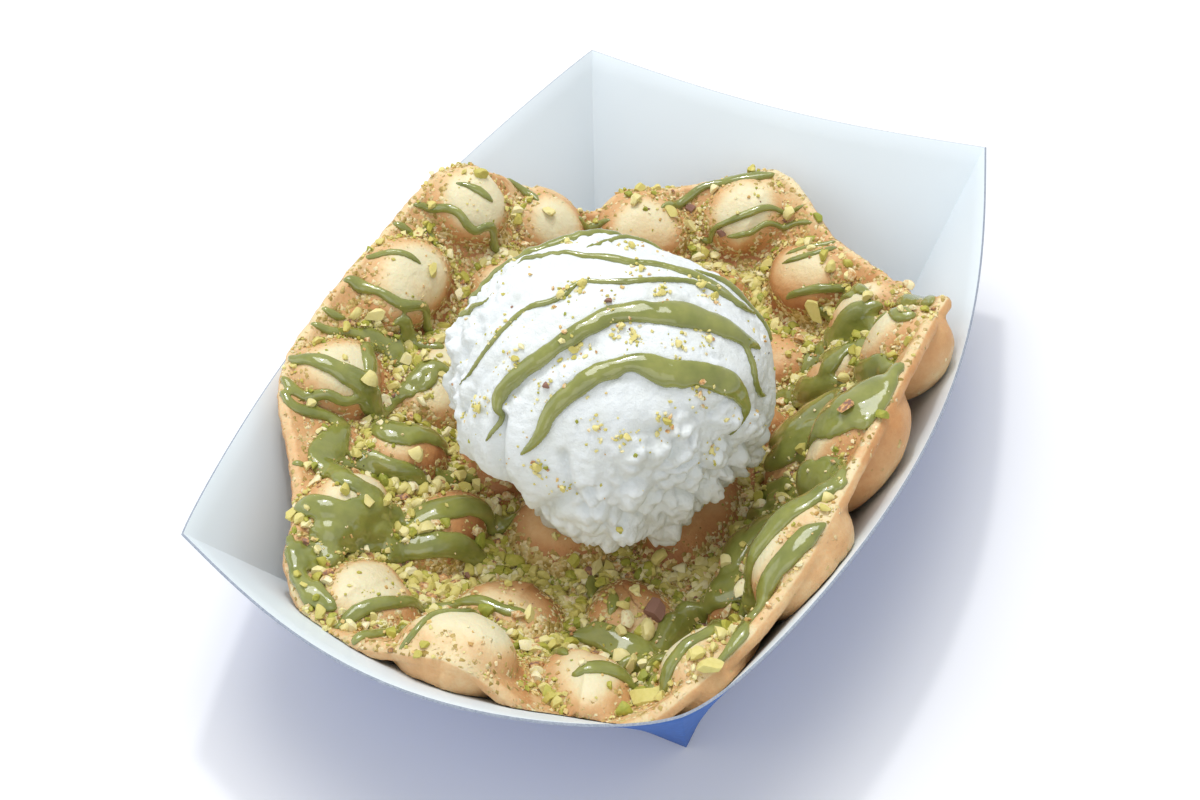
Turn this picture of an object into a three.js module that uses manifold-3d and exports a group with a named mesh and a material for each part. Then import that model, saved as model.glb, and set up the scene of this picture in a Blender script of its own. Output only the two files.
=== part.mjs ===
// Bubble waffle in a paper food tray, with one scoop of cream.
// A hexagonal sheet of bubbles is cupped by the tray's flared walls, and the scoop rests on its inner bubbles.
// Millimetres, +Z up. The origin is the centre of the tray's underside, and +Y runs along the tray.

import * as THREE from "three";
import { mergeVertices } from "three/addons/utils/BufferGeometryUtils.js";
import Module from "manifold-3d";

const wasm = await Module();
wasm.setup();

// --- driving dimensions: tray ---
const BOARD = 0.6;                 // thickness of the paper board
const WALL_INSET = 1.25 * BOARD;   // the same, measured level through a leaning wall
const FLOOR_HALF_WIDTH = 50.8;     // the flat base, a 4 in by 6 1/4 in rectangle
const FLOOR_HALF_LENGTH = 79.4;
const RIM_HALF_WIDTH = 63.2;       // the four rim corners
const RIM_HALF_LENGTH = 107;
const RIM_HEIGHT = 54;
// Between its corners each wall swells outwards, and its rim dips. A fullness under 1 spreads the swell.
const SWELL = {
  right: { bulge: 19.2, dip: 1.1, fullness: 1, pressed: "start" },
  back: { bulge: -1.9, dip: 3, fullness: 1 },
  left: { bulge: 20.5, dip: 11, fullness: 0.85 },
  front: { bulge: 15, dip: 0, fullness: 1, pressed: "end" },
};
// The front right rim corner is pressed round: how far in on both walls, and how soon that fades along them.
const CORNER_PRESSED = 3.8;
const CORNER_FADE = 12;
const SIDE_STEPS = 22;             // flat strips along a long wall
const END_STEPS = 16;              // and along an end wall

// --- driving dimensions: waffle ---
const COLUMN_STEP = 26;            // between columns of bubbles, across the sheet
const BUBBLE_STEP = 30;            // between bubbles of one column
const COLUMN_COUNTS = [7, 6, 5, 4];// bubbles in the middle column, and in each one further out
const MISSING = [[-3, -1.5], [3, 1.5]];  // corner bubbles the batter didn't reach
const BUBBLE_RADIUS = 13;
const BUBBLE_HEIGHT = 10.6;        // from the middle of the sheet to the top of a bubble, on both faces
const WEB_HALF = 1.7;              // half the thickness of the web between bubbles
const EDGE_LIP = 1;                // least web left around a bubble at the sheet's edge
const FILLET = 1.5;                // how softly a bubble rises from the web
const SHEET_CELLS = 6;             // mesh cells from one bubble's middle to the next
const SHEET_REACH = 120;           // half the size of the flat net that the sheet is cut from
const NORMAL_STEP = 0.6;           // over which the sheet's slope is taken
const SHEET_REST = 11.6;           // height of the middle of the sheet at the bottom of the cup
const CUP_CENTRE = [-3, -7];       // lowest point of the cup, in the tray

// The outermost ring of bubbles: column, place along it, then the seat of the bubble's middle
// in the tray (x, y, z) and the slope of the sheet there, in degrees.
const RIM_SEATS = [
  [3, 0.5, 68, 20, 52, 66],
  [2, 2, 51, 48, 32, 51],
  [1, 2.5, 30, 62.5, 26, 53],
  [0, 3, 2.5, 76, 30, 46],
  [-1, 2.5, -25, 60.5, 28, 44],
  [-2, 2, -48, 43, 34, 52],
  [-3, 1.5, -63, 26, 49, 46],
  [-3, 0.5, -69, -2, 43.5, 56],
  [-3, -0.5, -66, -43, 41.5, 42],
  [-2, -2, -44, -75, 36, 34],
  [-1, -2.5, -27, -97, 33, 33],
  [0, -3, 5, -101, 39, 52],
  [1, -2.5, 32, -94, 27, 28],
  [2, -2, 55, -79, 32, 62],
  [3, -1.5, 65, -48, 43, 68],
  [3, -0.5, 67, -14, 51, 68],
];

// How far the batter ran past the middles of the outermost bubbles: bearing on the flat sheet, distance.
const RUN_OUT = [
  [0, 14], [11, 14], [18, 17], [30, 11], [49, 13], [71, 14], [86, 17], [97, 14], [109, 13], [120, 7],
  [131, 13], [142, 14], [150, 14], [160, 14], [169, 14], [182, 14], [194, 15], [212, 13], [229, 14],
  [240, 17], [251, 15], [262, 13], [270, 13], [280, 15], [290, 15], [299, 17], [311, 13], [330, 13],
  [345, 14],
];

// --- driving dimensions: scoop ---
const SCOOP_CENTRE = [6, -23, 50];
const SCOOP_REACH = [41.5, 39.5, 38];  // half its size along x, y and z
const SCOOP_AROUND = 48;           // mesh steps around, and from pole to pole
const SCOOP_UP = 28;
// Soft lumps: waves around, waves up, phase and height. Heights are shares of the scoop's reach.
const LUMPS = [[3, 0, 0.6, 0.025], [5, 2, 2.1, 0.015]];
const DRAG_WAVES = 24;             // marks dragged by the scoop's lip, in waves per radian of elevation
const DRAG_HEIGHT = 0.012;
const DRAG_TILT = 0.2;             // in radians
const SKIRT_ELEVATION = -0.36;     // where the ragged skirt stands out, in radians
const SKIRT_SPREAD = 0.2;
const SKIRT_OUT = 0.085;
const SKIRT_TOWARDS = -0.1;        // the side where it stands out most, in radians around
const SKIRT_RAGS = 11;

const GAP = 0.35;                  // kept between the scoop and the waffle, and over the tray's floor
const WALL_GAP = 2;                // kept to the curved walls, whose flat strips stand in a little
const HAIR = 1e-6;                 // keeps a division away from zero

// --- small helpers ---

const mix = (from, to, share) => from + (to - from) * share;
const clamp = (value, low, high) => Math.min(Math.max(value, low), high);
const radians = (degrees) => (degrees * Math.PI) / 180;
const wrap = (degrees) => ((degrees % 360) + 360) % 360;

function meshFrom(points, faces) {
  const geometry = new THREE.BufferGeometry();
  geometry.setAttribute("position", new THREE.Float32BufferAttribute(points.flat(), 3));
  geometry.setIndex(faces.flat());
  return geometry;
}

function namedPiece(name, geometry, colour, roughness) {
  geometry.computeVertexNormals();
  const material = new THREE.MeshStandardMaterial({ color: colour, roughness, metalness: 0 });
  const piece = new THREE.Mesh(geometry, material);
  piece.name = name;
  return piece;
}

function toManifold(geometry) {
  const bare = geometry.clone();
  bare.deleteAttribute("normal");
  bare.deleteAttribute("uv");
  const merged = mergeVertices(bare, 1e-4);
  return new wasm.Manifold(new wasm.Mesh({
    numProp: 3,
    vertProperties: new Float32Array(merged.attributes.position.array),
    triVerts: new Uint32Array(merged.index.array),
  }));
}

function fromManifold(solid) {
  const mesh = solid.getMesh();
  const geometry = new THREE.BufferGeometry();
  geometry.setAttribute("position", new THREE.BufferAttribute(mesh.vertProperties, 3));
  geometry.setIndex(new THREE.BufferAttribute(mesh.triVerts, 1));
  return geometry;
}

// --- tray ---

// Each wall runs counter-clockwise between two corners; out is its outward direction.
const WALLS = {
  right: { along: [0, 1], out: [1, 0], steps: SIDE_STEPS },
  back: { along: [-1, 0], out: [0, 1], steps: END_STEPS },
  left: { along: [0, -1], out: [-1, 0], steps: SIDE_STEPS },
  front: { along: [1, 0], out: [0, -1], steps: END_STEPS },
};
for (const [name, wall] of Object.entries(WALLS)) {
  const isSide = wall.steps === SIDE_STEPS;
  Object.assign(wall, SWELL[name], {
    floorOut: isSide ? FLOOR_HALF_WIDTH : FLOOR_HALF_LENGTH,
    floorHalf: isSide ? FLOOR_HALF_LENGTH : FLOOR_HALF_WIDTH,
    rimOut: isSide ? RIM_HALF_WIDTH : RIM_HALF_LENGTH,
    rimHalf: isSide ? RIM_HALF_LENGTH : RIM_HALF_WIDTH,
  });
}

const swellAt = (wall, share) => Math.sin(Math.PI * share) ** wall.fullness;

// How far a place of the wall is pressed in by the rounded corner: outwards, and towards the wall's middle.
function pressedIn(wall, share, half, climb) {
  const end = { start: 0, end: 1 }[wall.pressed];
  if (end === undefined) return [0, 0];
  const depth = CORNER_PRESSED * climb * Math.exp((-Math.abs(share - end) * 2 * half) / CORNER_FADE);
  return [depth, end === 0 ? depth : -depth];
}

// A point of the wall's outer face: share runs along the wall, climb from the floor (0) to the rim (1).
function wallPoint(wall, share, climb, inset, lift) {
  const swell = swellAt(wall, share);
  const half = mix(wall.floorHalf, wall.rimHalf, climb) - inset;
  const [inwards, sideways] = pressedIn(wall, share, half, climb);
  const out = mix(wall.floorOut, wall.rimOut + wall.bulge * swell, climb) - inset - inwards;
  const along = (2 * share - 1) * half + sideways;
  return [
    wall.along[0] * along + wall.out[0] * out,
    wall.along[1] * along + wall.out[1] * out,
    lift + climb * (RIM_HEIGHT - wall.dip * swell - lift),
  ];
}

// How far out the wall's inner face stands at a place along it and a height.
function wallReach(wall, along, z) {
  let share = 0.5;
  let climb = 0;
  for (let pass = 0; pass < 4; pass += 1) {
    climb = z / (RIM_HEIGHT - wall.dip * swellAt(wall, share));
    const half = mix(wall.floorHalf, wall.rimHalf, climb);
    share = clamp((along + half) / (2 * half), 0, 1);
  }
  const [inwards] = pressedIn(wall, share, mix(wall.floorHalf, wall.rimHalf, climb), climb);
  return mix(wall.floorOut, wall.rimOut + wall.bulge * swellAt(wall, share), climb) - inwards - WALL_INSET;
}

function trayRing(climb, inset, lift) {
  const ring = [];
  for (const wall of Object.values(WALLS)) {
    for (let step = 0; step < wall.steps; step += 1) {
      const share = 0.5 - 0.5 * Math.cos((Math.PI * step) / wall.steps);  // closer together at the corners
      ring.push(wallPoint(wall, share, climb, inset, lift));
    }
  }
  return ring;
}

function paperTray() {
  const rings = [
    trayRing(0, 0, 0),
    trayRing(1, 0, 0),
    trayRing(1, WALL_INSET, 0),
    trayRing(0, WALL_INSET, BOARD),
  ];
  const count = rings[0].length;
  const points = [...rings.flat(), [0, 0, 0], [0, 0, BOARD]];
  const under = points.length - 2;
  const floor = points.length - 1;
  const faces = [];
  for (let i = 0; i < count; i += 1) {
    const next = (i + 1) % count;
    for (let ring = 0; ring < 3; ring += 1) {
      const low = ring * count;
      const high = low + count;
      faces.push([low + i, low + next, high + next], [low + i, high + next, high + i]);
    }
    faces.push([next, i, under], [3 * count + i, 3 * count + next, floor]);
  }
  return meshFrom(points, faces);
}

// --- waffle ---

const bubbles = [];
COLUMN_COUNTS.forEach((count, column) => {
  for (const side of column === 0 ? [1] : [-1, 1]) {
    for (let i = 0; i < count; i += 1) {
      const place = i - (count - 1) / 2;
      const gone = MISSING.some(([c, p]) => c === side * column && p === place);
      if (!gone) bubbles.push([side * column * COLUMN_STEP, place * BUBBLE_STEP]);
    }
  }
});

// Smooth closed curve of values at bearings: cubic pieces whose tangents lean to the straighter neighbour.
function ringCurve(stations) {
  const sorted = [...stations].sort((a, b) => a.bearing - b.bearing);
  const count = sorted.length;
  const at = (i) => sorted[((i % count) + count) % count];
  const bearingOf = (i) => at(i).bearing + 360 * Math.floor(i / count);
  const chord = (i, k) => (at(i + 1).values[k] - at(i).values[k]) / (bearingOf(i + 1) - bearingOf(i));
  const tangent = (i, k) => {
    const before = chord(i - 1, k);
    const after = chord(i, k);
    const bendAfter = Math.abs(chord(i + 1, k) - after) + HAIR;
    const bendBefore = Math.abs(before - chord(i - 2, k)) + HAIR;
    return (bendAfter * before + bendBefore * after) / (bendAfter + bendBefore);
  };
  return (bearing) => {
    let i = sorted.findIndex((station) => station.bearing > bearing) - 1;
    if (i === -2) i = count - 1;
    const start = bearingOf(i);
    const span = bearingOf(i + 1) - start;
    const t = (bearing - start) / span;
    return at(i).values.map((from, k) => {
      const to = at(i + 1).values[k];
      const leave = tangent(i, k) * span;
      const arrive = tangent(i + 1, k) * span;
      return from * (1 + 2 * t) * (1 - t) ** 2 + to * t * t * (3 - 2 * t)
        + leave * t * (1 - t) ** 2 - arrive * t * t * (1 - t);
    });
  };
}

const rimStations = RIM_SEATS.map(([column, place, ...seat]) => {
  const u = column * COLUMN_STEP;
  const v = place * BUBBLE_STEP;
  return { bearing: wrap((Math.atan2(v, u) * 180) / Math.PI), radius: Math.hypot(u, v), values: seat };
}).sort((a, b) => a.bearing - b.bearing);
const rimSeat = ringCurve(rimStations);
const runOut = ringCurve(RUN_OUT.map(([bearing, distance]) => ({ bearing, values: [distance] })));

// Radius of the ring through the outermost bubbles, straight between neighbours.
function rimRadius(bearing) {
  const count = rimStations.length;
  let i = rimStations.findIndex((station) => station.bearing > bearing);
  if (i === -1) i = 0;
  const from = rimStations[(i + count - 1) % count];
  const to = rimStations[i];
  const span = wrap(to.bearing - from.bearing);
  return mix(from.radius, to.radius, wrap(bearing - from.bearing) / span);
}

// Where a point (u, v) of the flat sheet lies in the tray. Each spoke of the sheet keeps its length:
// it is level near the middle, bends up as a parabola to its rim bubble, and runs on straight past it.
function sheetPoint(u, v) {
  const along = Math.hypot(u, v) + HAIR;
  const bearing = wrap((Math.atan2(v, u) * 180) / Math.PI);
  const radius = rimRadius(bearing);
  const [x, y, z, slope] = rimSeat(bearing);
  const dx = x - CUP_CENTRE[0];
  const dy = y - CUP_CENTRE[1];
  const plan = Math.hypot(dx, dy);
  const rise = z - SHEET_REST;
  const bentShare = clamp((2 * rise) / (plan * Math.tan(radians(slope))), 0.05, 0.98);
  const bent = bentShare * plan;
  const level = plan - bent;
  const endSlope = (2 * rise) / bent;
  const arc = (share) => {
    const a = endSlope * share;
    return (bent / (2 * endSlope)) * (a * Math.sqrt(1 + a * a) + Math.asinh(a));
  };
  const wanted = Math.min(along / radius, 1) * (level + arc(1));
  let share = clamp((wanted - level) / bent, 0, 1);
  for (let pass = 0; pass < 6; pass += 1) {
    const miss = arc(share) - (wanted - level);
    share = clamp(share - miss / (bent * Math.sqrt(1 + (endSlope * share) ** 2)), 0, 1);
  }
  const past = Math.max(along - radius, 0) / Math.sqrt(1 + endSlope ** 2);
  const reach = Math.min(wanted, level) + share * bent + past;
  return new THREE.Vector3(
    CUP_CENTRE[0] + (dx / plan) * reach,
    CUP_CENTRE[1] + (dy / plan) * reach,
    SHEET_REST + rise * share * share + past * endSlope,
  );
}

function sheetNormal(u, v) {
  const across = sheetPoint(u + NORMAL_STEP, v).sub(sheetPoint(u - NORMAL_STEP, v));
  const along = sheetPoint(u, v + NORMAL_STEP).sub(sheetPoint(u, v - NORMAL_STEP));
  return across.cross(along).normalize();
}

// Half the waffle's thickness: the web, with bubbles rising softly out of it.
function halfThickness(u, v, extra) {
  const web = WEB_HALF + extra;
  let dome = 0;
  for (const [cu, cv] of bubbles) {
    const share = Math.hypot(u - cu, v - cv) / (BUBBLE_RADIUS + extra);
    if (share < 1) dome = (BUBBLE_HEIGHT + extra) * Math.sqrt(1 - share * share);
  }
  const blend = Math.sqrt((dome - web) ** 2 + FILLET ** 2);
  return Math.min(0.5 * (dome + web + blend), BUBBLE_HEIGHT + extra);
}

// How far out the sheet reaches on a bearing: the batter's run-out, but always past the foot of a bubble.
function outlineRadius(bearing) {
  const [du, dv] = [Math.cos(radians(bearing)), Math.sin(radians(bearing))];
  let reach = rimRadius(bearing) + runOut(bearing)[0];
  for (const [u, v] of bubbles) {
    const ahead = u * du + v * dv;
    const aside = u * dv - v * du;
    const lip = BUBBLE_RADIUS + EDGE_LIP;
    if (ahead > 0 && Math.abs(aside) < lip) reach = Math.max(reach, ahead + Math.sqrt(lip ** 2 - aside ** 2));
  }
  return reach;
}

// Triangles of a flat net that has a corner on the middle of every bubble, cut off at the waffle's outline.
function flatNet() {
  const columnStep = COLUMN_STEP / SHEET_CELLS;
  const rowStep = BUBBLE_STEP / SHEET_CELLS;
  const columns = Math.ceil(SHEET_REACH / columnStep);
  const rows = Math.ceil(SHEET_REACH / rowStep);
  const place = (i, j) => [i * columnStep, (j + (i % 2 === 0 ? 0 : 0.5)) * rowStep];
  const index = new Map();
  const corners = [];
  const faces = [];
  const cornerOf = (i, j) => {
    const key = `${i},${j}`;
    if (!index.has(key)) {
      index.set(key, corners.length);
      corners.push(place(i, j));
    }
    return index.get(key);
  };
  const inside = (...cells) => {
    const u = cells.reduce((sum, [i, j]) => sum + place(i, j)[0], 0) / 3;
    const v = cells.reduce((sum, [i, j]) => sum + place(i, j)[1], 0) / 3;
    return Math.hypot(u, v) < outlineRadius(wrap((Math.atan2(v, u) * 180) / Math.PI));
  };
  for (let i = -columns; i < columns; i += 1) {
    for (let j = -rows; j < rows; j += 1) {
      const shift = i % 2 === 0 ? 0 : 1;
      const here = [i, j];
      const up = [i, j + 1];
      const rightUp = [i + 1, j + shift];
      const rightDown = [i + 1, j + shift - 1];
      for (const cells of [[here, rightUp, up], [here, rightDown, rightUp]]) {
        if (inside(...cells)) faces.push(cells.map(([a, b]) => cornerOf(a, b)));
      }
    }
  }
  return { corners, faces };
}

function edgesOf(faces) {
  const edges = new Map();
  for (const face of faces) {
    for (let i = 0; i < 3; i += 1) {
      const from = face[i];
      const to = face[(i + 1) % 3];
      if (!edges.delete(`${to},${from}`)) edges.set(`${from},${to}`, [from, to]);
    }
  }
  return [...edges.values()];
}

// Presses a point back inside the walls. The second round settles the corners, where two walls meet.
function keepInTray(point) {
  point.z = Math.max(point.z, BOARD + GAP);
  const walls = Object.values(WALLS);
  for (const wall of [...walls, ...walls]) {
    const along = wall.along[0] * point.x + wall.along[1] * point.y;
    const out = wall.out[0] * point.x + wall.out[1] * point.y;
    const over = out - (wallReach(wall, along, point.z) - WALL_GAP);
    if (over > 0) {
      point.x -= wall.out[0] * over;
      point.y -= wall.out[1] * over;
    }
  }
  return point;
}

function waffleSkin(extra) {
  const { corners, faces } = flatNet();
  const rim = edgesOf(faces);
  for (const [from] of rim) {
    const [u, v] = corners[from];
    const stretch = outlineRadius(wrap((Math.atan2(v, u) * 180) / Math.PI)) / Math.hypot(u, v);
    corners[from] = [u * stretch, v * stretch];
  }
  const top = [];
  const bottom = [];
  for (const [u, v] of corners) {
    const middle = sheetPoint(u, v);
    const normal = sheetNormal(u, v);
    const half = halfThickness(u, v, extra);
    for (const [skin, side] of [[top, 1], [bottom, -1]]) {
      const point = middle.clone().addScaledVector(normal, side * half);
      skin.push(keepInTray(point).toArray());
    }
  }
  const count = corners.length;
  const closed = [];
  for (const [a, b, c] of faces) {
    closed.push([a, b, c], [count + a, count + c, count + b]);
  }
  for (const [a, b] of rim) {
    closed.push([b, a, count + a], [b, count + a, count + b]);
  }
  return meshFrom([...top, ...bottom], closed);
}

// --- scoop ---

// The scoop's surface, as a share of its reach.
function scoopShare(around, elevation) {
  const flank = Math.cos(elevation);
  let share = 1;
  for (const [waves, climb, phase, height] of LUMPS) {
    share += height * Math.sin(waves * around + climb * elevation + phase) * flank;
  }
  share += DRAG_HEIGHT * Math.sin(DRAG_WAVES * (elevation + DRAG_TILT * Math.sin(around + 0.8))) * flank;
  const side = 0.6 + 0.4 * Math.cos(around - SKIRT_TOWARDS);
  const ragged = 0.7 + 0.3 * Math.sin(SKIRT_RAGS * around + 1.3 * Math.sin(4 * around));
  return share + SKIRT_OUT * side * ragged * Math.exp(-(((elevation - SKIRT_ELEVATION) / SKIRT_SPREAD) ** 2));
}

function scoopBall() {
  const ball = new THREE.SphereGeometry(1, SCOOP_AROUND, SCOOP_UP);
  ball.rotateX(Math.PI / 2);
  const place = ball.attributes.position;
  const point = new THREE.Vector3();
  for (let i = 0; i < place.count; i += 1) {
    point.fromBufferAttribute(place, i);
    const share = scoopShare(Math.atan2(point.y, point.x), Math.asin(clamp(point.z, -1, 1)));
    point.multiply(new THREE.Vector3(...SCOOP_REACH)).multiplyScalar(share);
    point.add(new THREE.Vector3(...SCOOP_CENTRE));
    place.setXYZ(i, point.x, point.y, point.z);
  }
  return ball;
}

// The scoop sinks onto the bubbles, so a copy of the waffle grown by the gap is taken out of its underside.
function creamScoop() {
  const rested = toManifold(scoopBall()).subtract(toManifold(waffleSkin(GAP)));
  const bodies = rested.decompose().sort((a, b) => b.volume() - a.volume());
  return fromManifold(bodies[0]);
}

// --- assembly ---

const treat = new THREE.Group();
treat.name = "bubble_waffle";
treat.add(namedPiece("paper_tray", paperTray(), 0xdfe8ee, 0.55));
treat.add(namedPiece("waffle", waffleSkin(0), 0xe2b272, 0.6));
treat.add(namedPiece("cream_scoop", creamScoop(), 0xf3f1ec, 0.45));

export default treat;
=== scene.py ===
"""Bubble waffle cupped in a paper food tray, with a scoop of cream, green nut sauce and chopped nuts.

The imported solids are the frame. A finer piece of the same size stands for each of them, and the
sauce, the nuts and the crumbs are laid on top. Lengths are in millimetres unless a name says metres.
"""
import math
import random

import bpy
import numpy as np
from bpy.props import FloatProperty, FloatVectorProperty, IntProperty, PointerProperty
from mathutils import Matrix, Vector, noise
from mathutils.bvhtree import BVHTree


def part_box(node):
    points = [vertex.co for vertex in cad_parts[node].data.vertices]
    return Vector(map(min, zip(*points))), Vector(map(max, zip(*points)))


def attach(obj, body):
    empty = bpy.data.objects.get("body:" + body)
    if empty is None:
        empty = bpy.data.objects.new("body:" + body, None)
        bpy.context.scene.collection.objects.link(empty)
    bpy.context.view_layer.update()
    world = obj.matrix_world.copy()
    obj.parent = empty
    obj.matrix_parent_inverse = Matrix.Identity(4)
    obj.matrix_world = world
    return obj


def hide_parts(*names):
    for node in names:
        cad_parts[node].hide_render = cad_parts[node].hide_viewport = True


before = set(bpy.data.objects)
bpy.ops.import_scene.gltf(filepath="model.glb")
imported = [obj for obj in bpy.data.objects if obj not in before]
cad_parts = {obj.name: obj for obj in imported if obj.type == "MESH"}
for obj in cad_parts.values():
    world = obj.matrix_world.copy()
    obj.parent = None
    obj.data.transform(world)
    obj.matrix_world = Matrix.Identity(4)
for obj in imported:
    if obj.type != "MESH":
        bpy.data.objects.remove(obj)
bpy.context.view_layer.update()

bl_info = {
    "name": "Bubble waffle",
    "version": (1, 0, 0),
    "blender": (4, 5, 0),
    "location": "3D View > Sidebar > Waffle",
    "description": "Builds a bubble waffle in a paper tray with cream, sauce and chopped nuts",
    "category": "Add Mesh",
}

MM = 0.001
HAIR = 1e-6                 # keeps a division from meeting zero
NEAR = 1e-4                 # places closer than this are the same

# --- the tray's walls, as the solid has them ---
FLOOR_HALF_WIDTH = 50.8
FLOOR_HALF_LENGTH = 79.4
RIM_HALF_WIDTH = 63.2
RIM_HALF_LENGTH = 107.0
RIM_HEIGHT = 54.0
CORNER_PRESSED = 3.8        # how far the front right rim corner is pressed round
CORNER_FADE = 12.0          # how far along a wall that pressing fades out
LONG_SIDE = (FLOOR_HALF_LENGTH, RIM_HALF_LENGTH, FLOOR_HALF_WIDTH, RIM_HALF_WIDTH)
END_SIDE = (FLOOR_HALF_WIDTH, RIM_HALF_WIDTH, FLOOR_HALF_LENGTH, RIM_HALF_LENGTH)
# Right, back, left and front wall: direction along it, direction out of it, half its length at floor and rim,
# how far out it stands at floor and rim, then how far its middle swells outwards, how far its rim dips there,
# how full the swell is, and which of its ends is pressed round.
WALLS = (
    ((0, 1), (1, 0), *LONG_SIDE, 19.2, 1.1, 1.0, 0),
    ((-1, 0), (0, 1), *END_SIDE, -1.9, 3.0, 1.0, None),
    ((0, -1), (-1, 0), *LONG_SIDE, 20.5, 11.0, 0.85, None),
    ((1, 0), (0, -1), *END_SIDE, 15.0, 0.0, 1.0, 1),
)
END_STRIPS = 40             # faces along an end and along a side of the base, and up a wall
SIDE_STRIPS = 60
WALL_ROWS = 10
CUT_EDGE_BEVEL = 0.12       # takes the sharpness off the cut rim

# --- the waffle's sheet, as the solid has it ---
COLUMN_STEP = 26.0
BUBBLE_STEP = 30.0
COLUMN_COUNTS = (7, 6, 5, 4)        # bubbles in the middle column, and in each column further out
MISSING = ((-3, -1.5), (3, 1.5))    # corner bubbles that aren't there: column, place along it
BUBBLE_RADIUS = 13.0
BUBBLE_HEIGHT = 10.6
WEB_HALF = 1.7              # half the thickness of the web between bubbles
EDGE_LIP = 1.0              # the least web outside a bubble's foot
FILLET = 1.5
SHEET_REST = 11.6           # height of the sheet's middle at the bottom of the cup
CUP_CENTRE = (-3.0, -7.0)
OVAL = 0.025                # how far bubbles are out of round, in two lobes and in three
THREE_LOBED = 0.015
DOME_FULLNESS = 2.15        # 2 is half an ellipse, and more is fuller
# The outermost bubbles: column, place along it, seat (x, y, z) and slope of the sheet there in degrees.
RIM_SEATS = (
    (3, 0.5, 68, 20, 52, 66), (2, 2, 51, 48, 32, 51), (1, 2.5, 30, 62.5, 26, 53), (0, 3, 2.5, 76, 30, 46),
    (-1, 2.5, -25, 60.5, 28, 44), (-2, 2, -48, 43, 34, 52), (-3, 1.5, -63, 26, 49, 46),
    (-3, 0.5, -69, -2, 43.5, 56), (-3, -0.5, -66, -43, 41.5, 42), (-2, -2, -44, -75, 36, 34),
    (-1, -2.5, -27, -97, 33, 33), (0, -3, 5, -101, 39, 52), (1, -2.5, 32, -94, 27, 28),
    (2, -2, 55, -79, 32, 62), (3, -1.5, 65, -48, 43, 68), (3, -0.5, 67, -14, 51, 68),
)
# How far the batter ran past the middles of those bubbles: bearing on the flat sheet, distance.
RUN_OUT = (
    (0, 14), (11, 14), (18, 17), (30, 11), (49, 13), (71, 14), (86, 17), (97, 14), (109, 13), (120, 7),
    (131, 13), (142, 14), (150, 14), (160, 14), (169, 14), (182, 14), (194, 15), (212, 13), (229, 14),
    (240, 17), (251, 15), (262, 13), (270, 13), (280, 15), (290, 15), (299, 17), (311, 13), (330, 13),
    (345, 14),
)
FLOOR_GAP = 0.75            # how far the sheet stays from the base's and the walls' outer faces
WALL_GAP = 1.1
SHEET_STEPS = 190           # cells across the square net that becomes the sheet
EDGE_RINGS = 5              # outermost rings of cells, drawn close together to round the edge
EDGE_RING_STEP = 0.4

# --- the scoop, as the solid has it ---
SCOOP_CENTRE = np.array((6.0, -23.0, 50.0))
SCOOP_REACH = np.array((41.5, 39.5, 38.0))
LUMPS = ((3, 0, 0.6, 0.025), (5, 2, 2.1, 0.015))    # waves round it, waves up it, phase, share of its reach
SKIRT_ELEVATION = -0.36     # in radians, as are the skirt's spread and its heading
SKIRT_SPREAD = 0.2
SKIRT_TOWARDS = -0.1
SKIRT_OUT = 0.085
SKIRT_RAGS = 11


# --- small helpers ---

def linear(hex_colour):
    """An sRGB hex colour as the linear RGBA that shaders take."""
    parts = [int(hex_colour[i:i + 2], 16) / 255 for i in (1, 3, 5)]
    return (*[c / 12.92 if c <= 0.04045 else ((c + 0.055) / 1.055) ** 2.4 for c in parts], 1.0)


def smoothstep(low, high, value):
    """0 below low, 1 above high and a soft ramp between."""
    share = np.clip((value - low) / (high - low), 0, 1)
    return share * share * (3 - 2 * share)


def unit(vectors):
    """Vectors of length one."""
    return vectors / np.maximum(np.linalg.norm(vectors, axis=-1, keepdims=True), HAIR)


def grain(points, size, seed):
    """Smooth noise from -1 to 1 at points; size is the millimetres of one lump."""
    shift = np.array((seed * 17.3, seed * 5.1, seed * 11.7))
    return np.array([noise.noise(Vector(p)) for p in (points / size + shift).tolist()])


def coordinates(piece):
    """A piece's vertices in millimetres."""
    flat = np.empty(len(piece.data.vertices) * 3)
    piece.data.vertices.foreach_get("co", flat)
    return flat.reshape(-1, 3) / MM


def set_coordinates(piece, points):
    """Moves a piece's vertices to points given in millimetres."""
    piece.data.vertices.foreach_set("co", (points * MM).ravel())
    piece.data.update()


def box_of(node):
    """The lowest and the highest corner of a solid's box, in millimetres."""
    return [np.array(corner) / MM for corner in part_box(node)]


def deselect():
    """Leaves edit mode and selects nothing."""
    if bpy.context.object and bpy.context.object.mode != "OBJECT":
        bpy.ops.object.mode_set(mode="OBJECT")
    bpy.ops.object.select_all(action="DESELECT")


def activate(piece):
    """Makes a piece the only selected one, and the active one."""
    deselect()
    piece.select_set(True)
    bpy.context.view_layer.objects.active = piece


def mesh_piece(name, points, faces):
    """A new piece from points in millimetres and faces."""
    mesh = bpy.data.meshes.new(name)
    mesh.from_pydata((np.asarray(points) * MM).tolist(), [], faces)
    piece = bpy.data.objects.new(name, mesh)
    bpy.context.scene.collection.objects.link(piece)
    return piece


def set_attribute(piece, name, values):
    """Stores one number for each vertex, which a material reads."""
    attribute = piece.data.attributes.get(name) or piece.data.attributes.new(name, "FLOAT", "POINT")
    attribute.data.foreach_set("value", np.asarray(values, dtype=np.float32))


def apply_modifier(piece, kind, **settings):
    """Adds a modifier with its settings and applies it."""
    activate(piece)
    modifier = piece.modifiers.new(kind.title(), kind)
    for key, value in settings.items():
        setattr(modifier, key, value)
    bpy.ops.object.modifier_apply(modifier=modifier.name)


def finish_piece(piece, slot, materials, *nodes):
    """Gives a piece its materials and its body, and hides the solids it stands for. The slot is not used."""
    for material in materials:
        piece.data.materials.append(material)
    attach(piece, "root")
    if nodes:
        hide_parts(*nodes)


# --- walls ---

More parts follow.
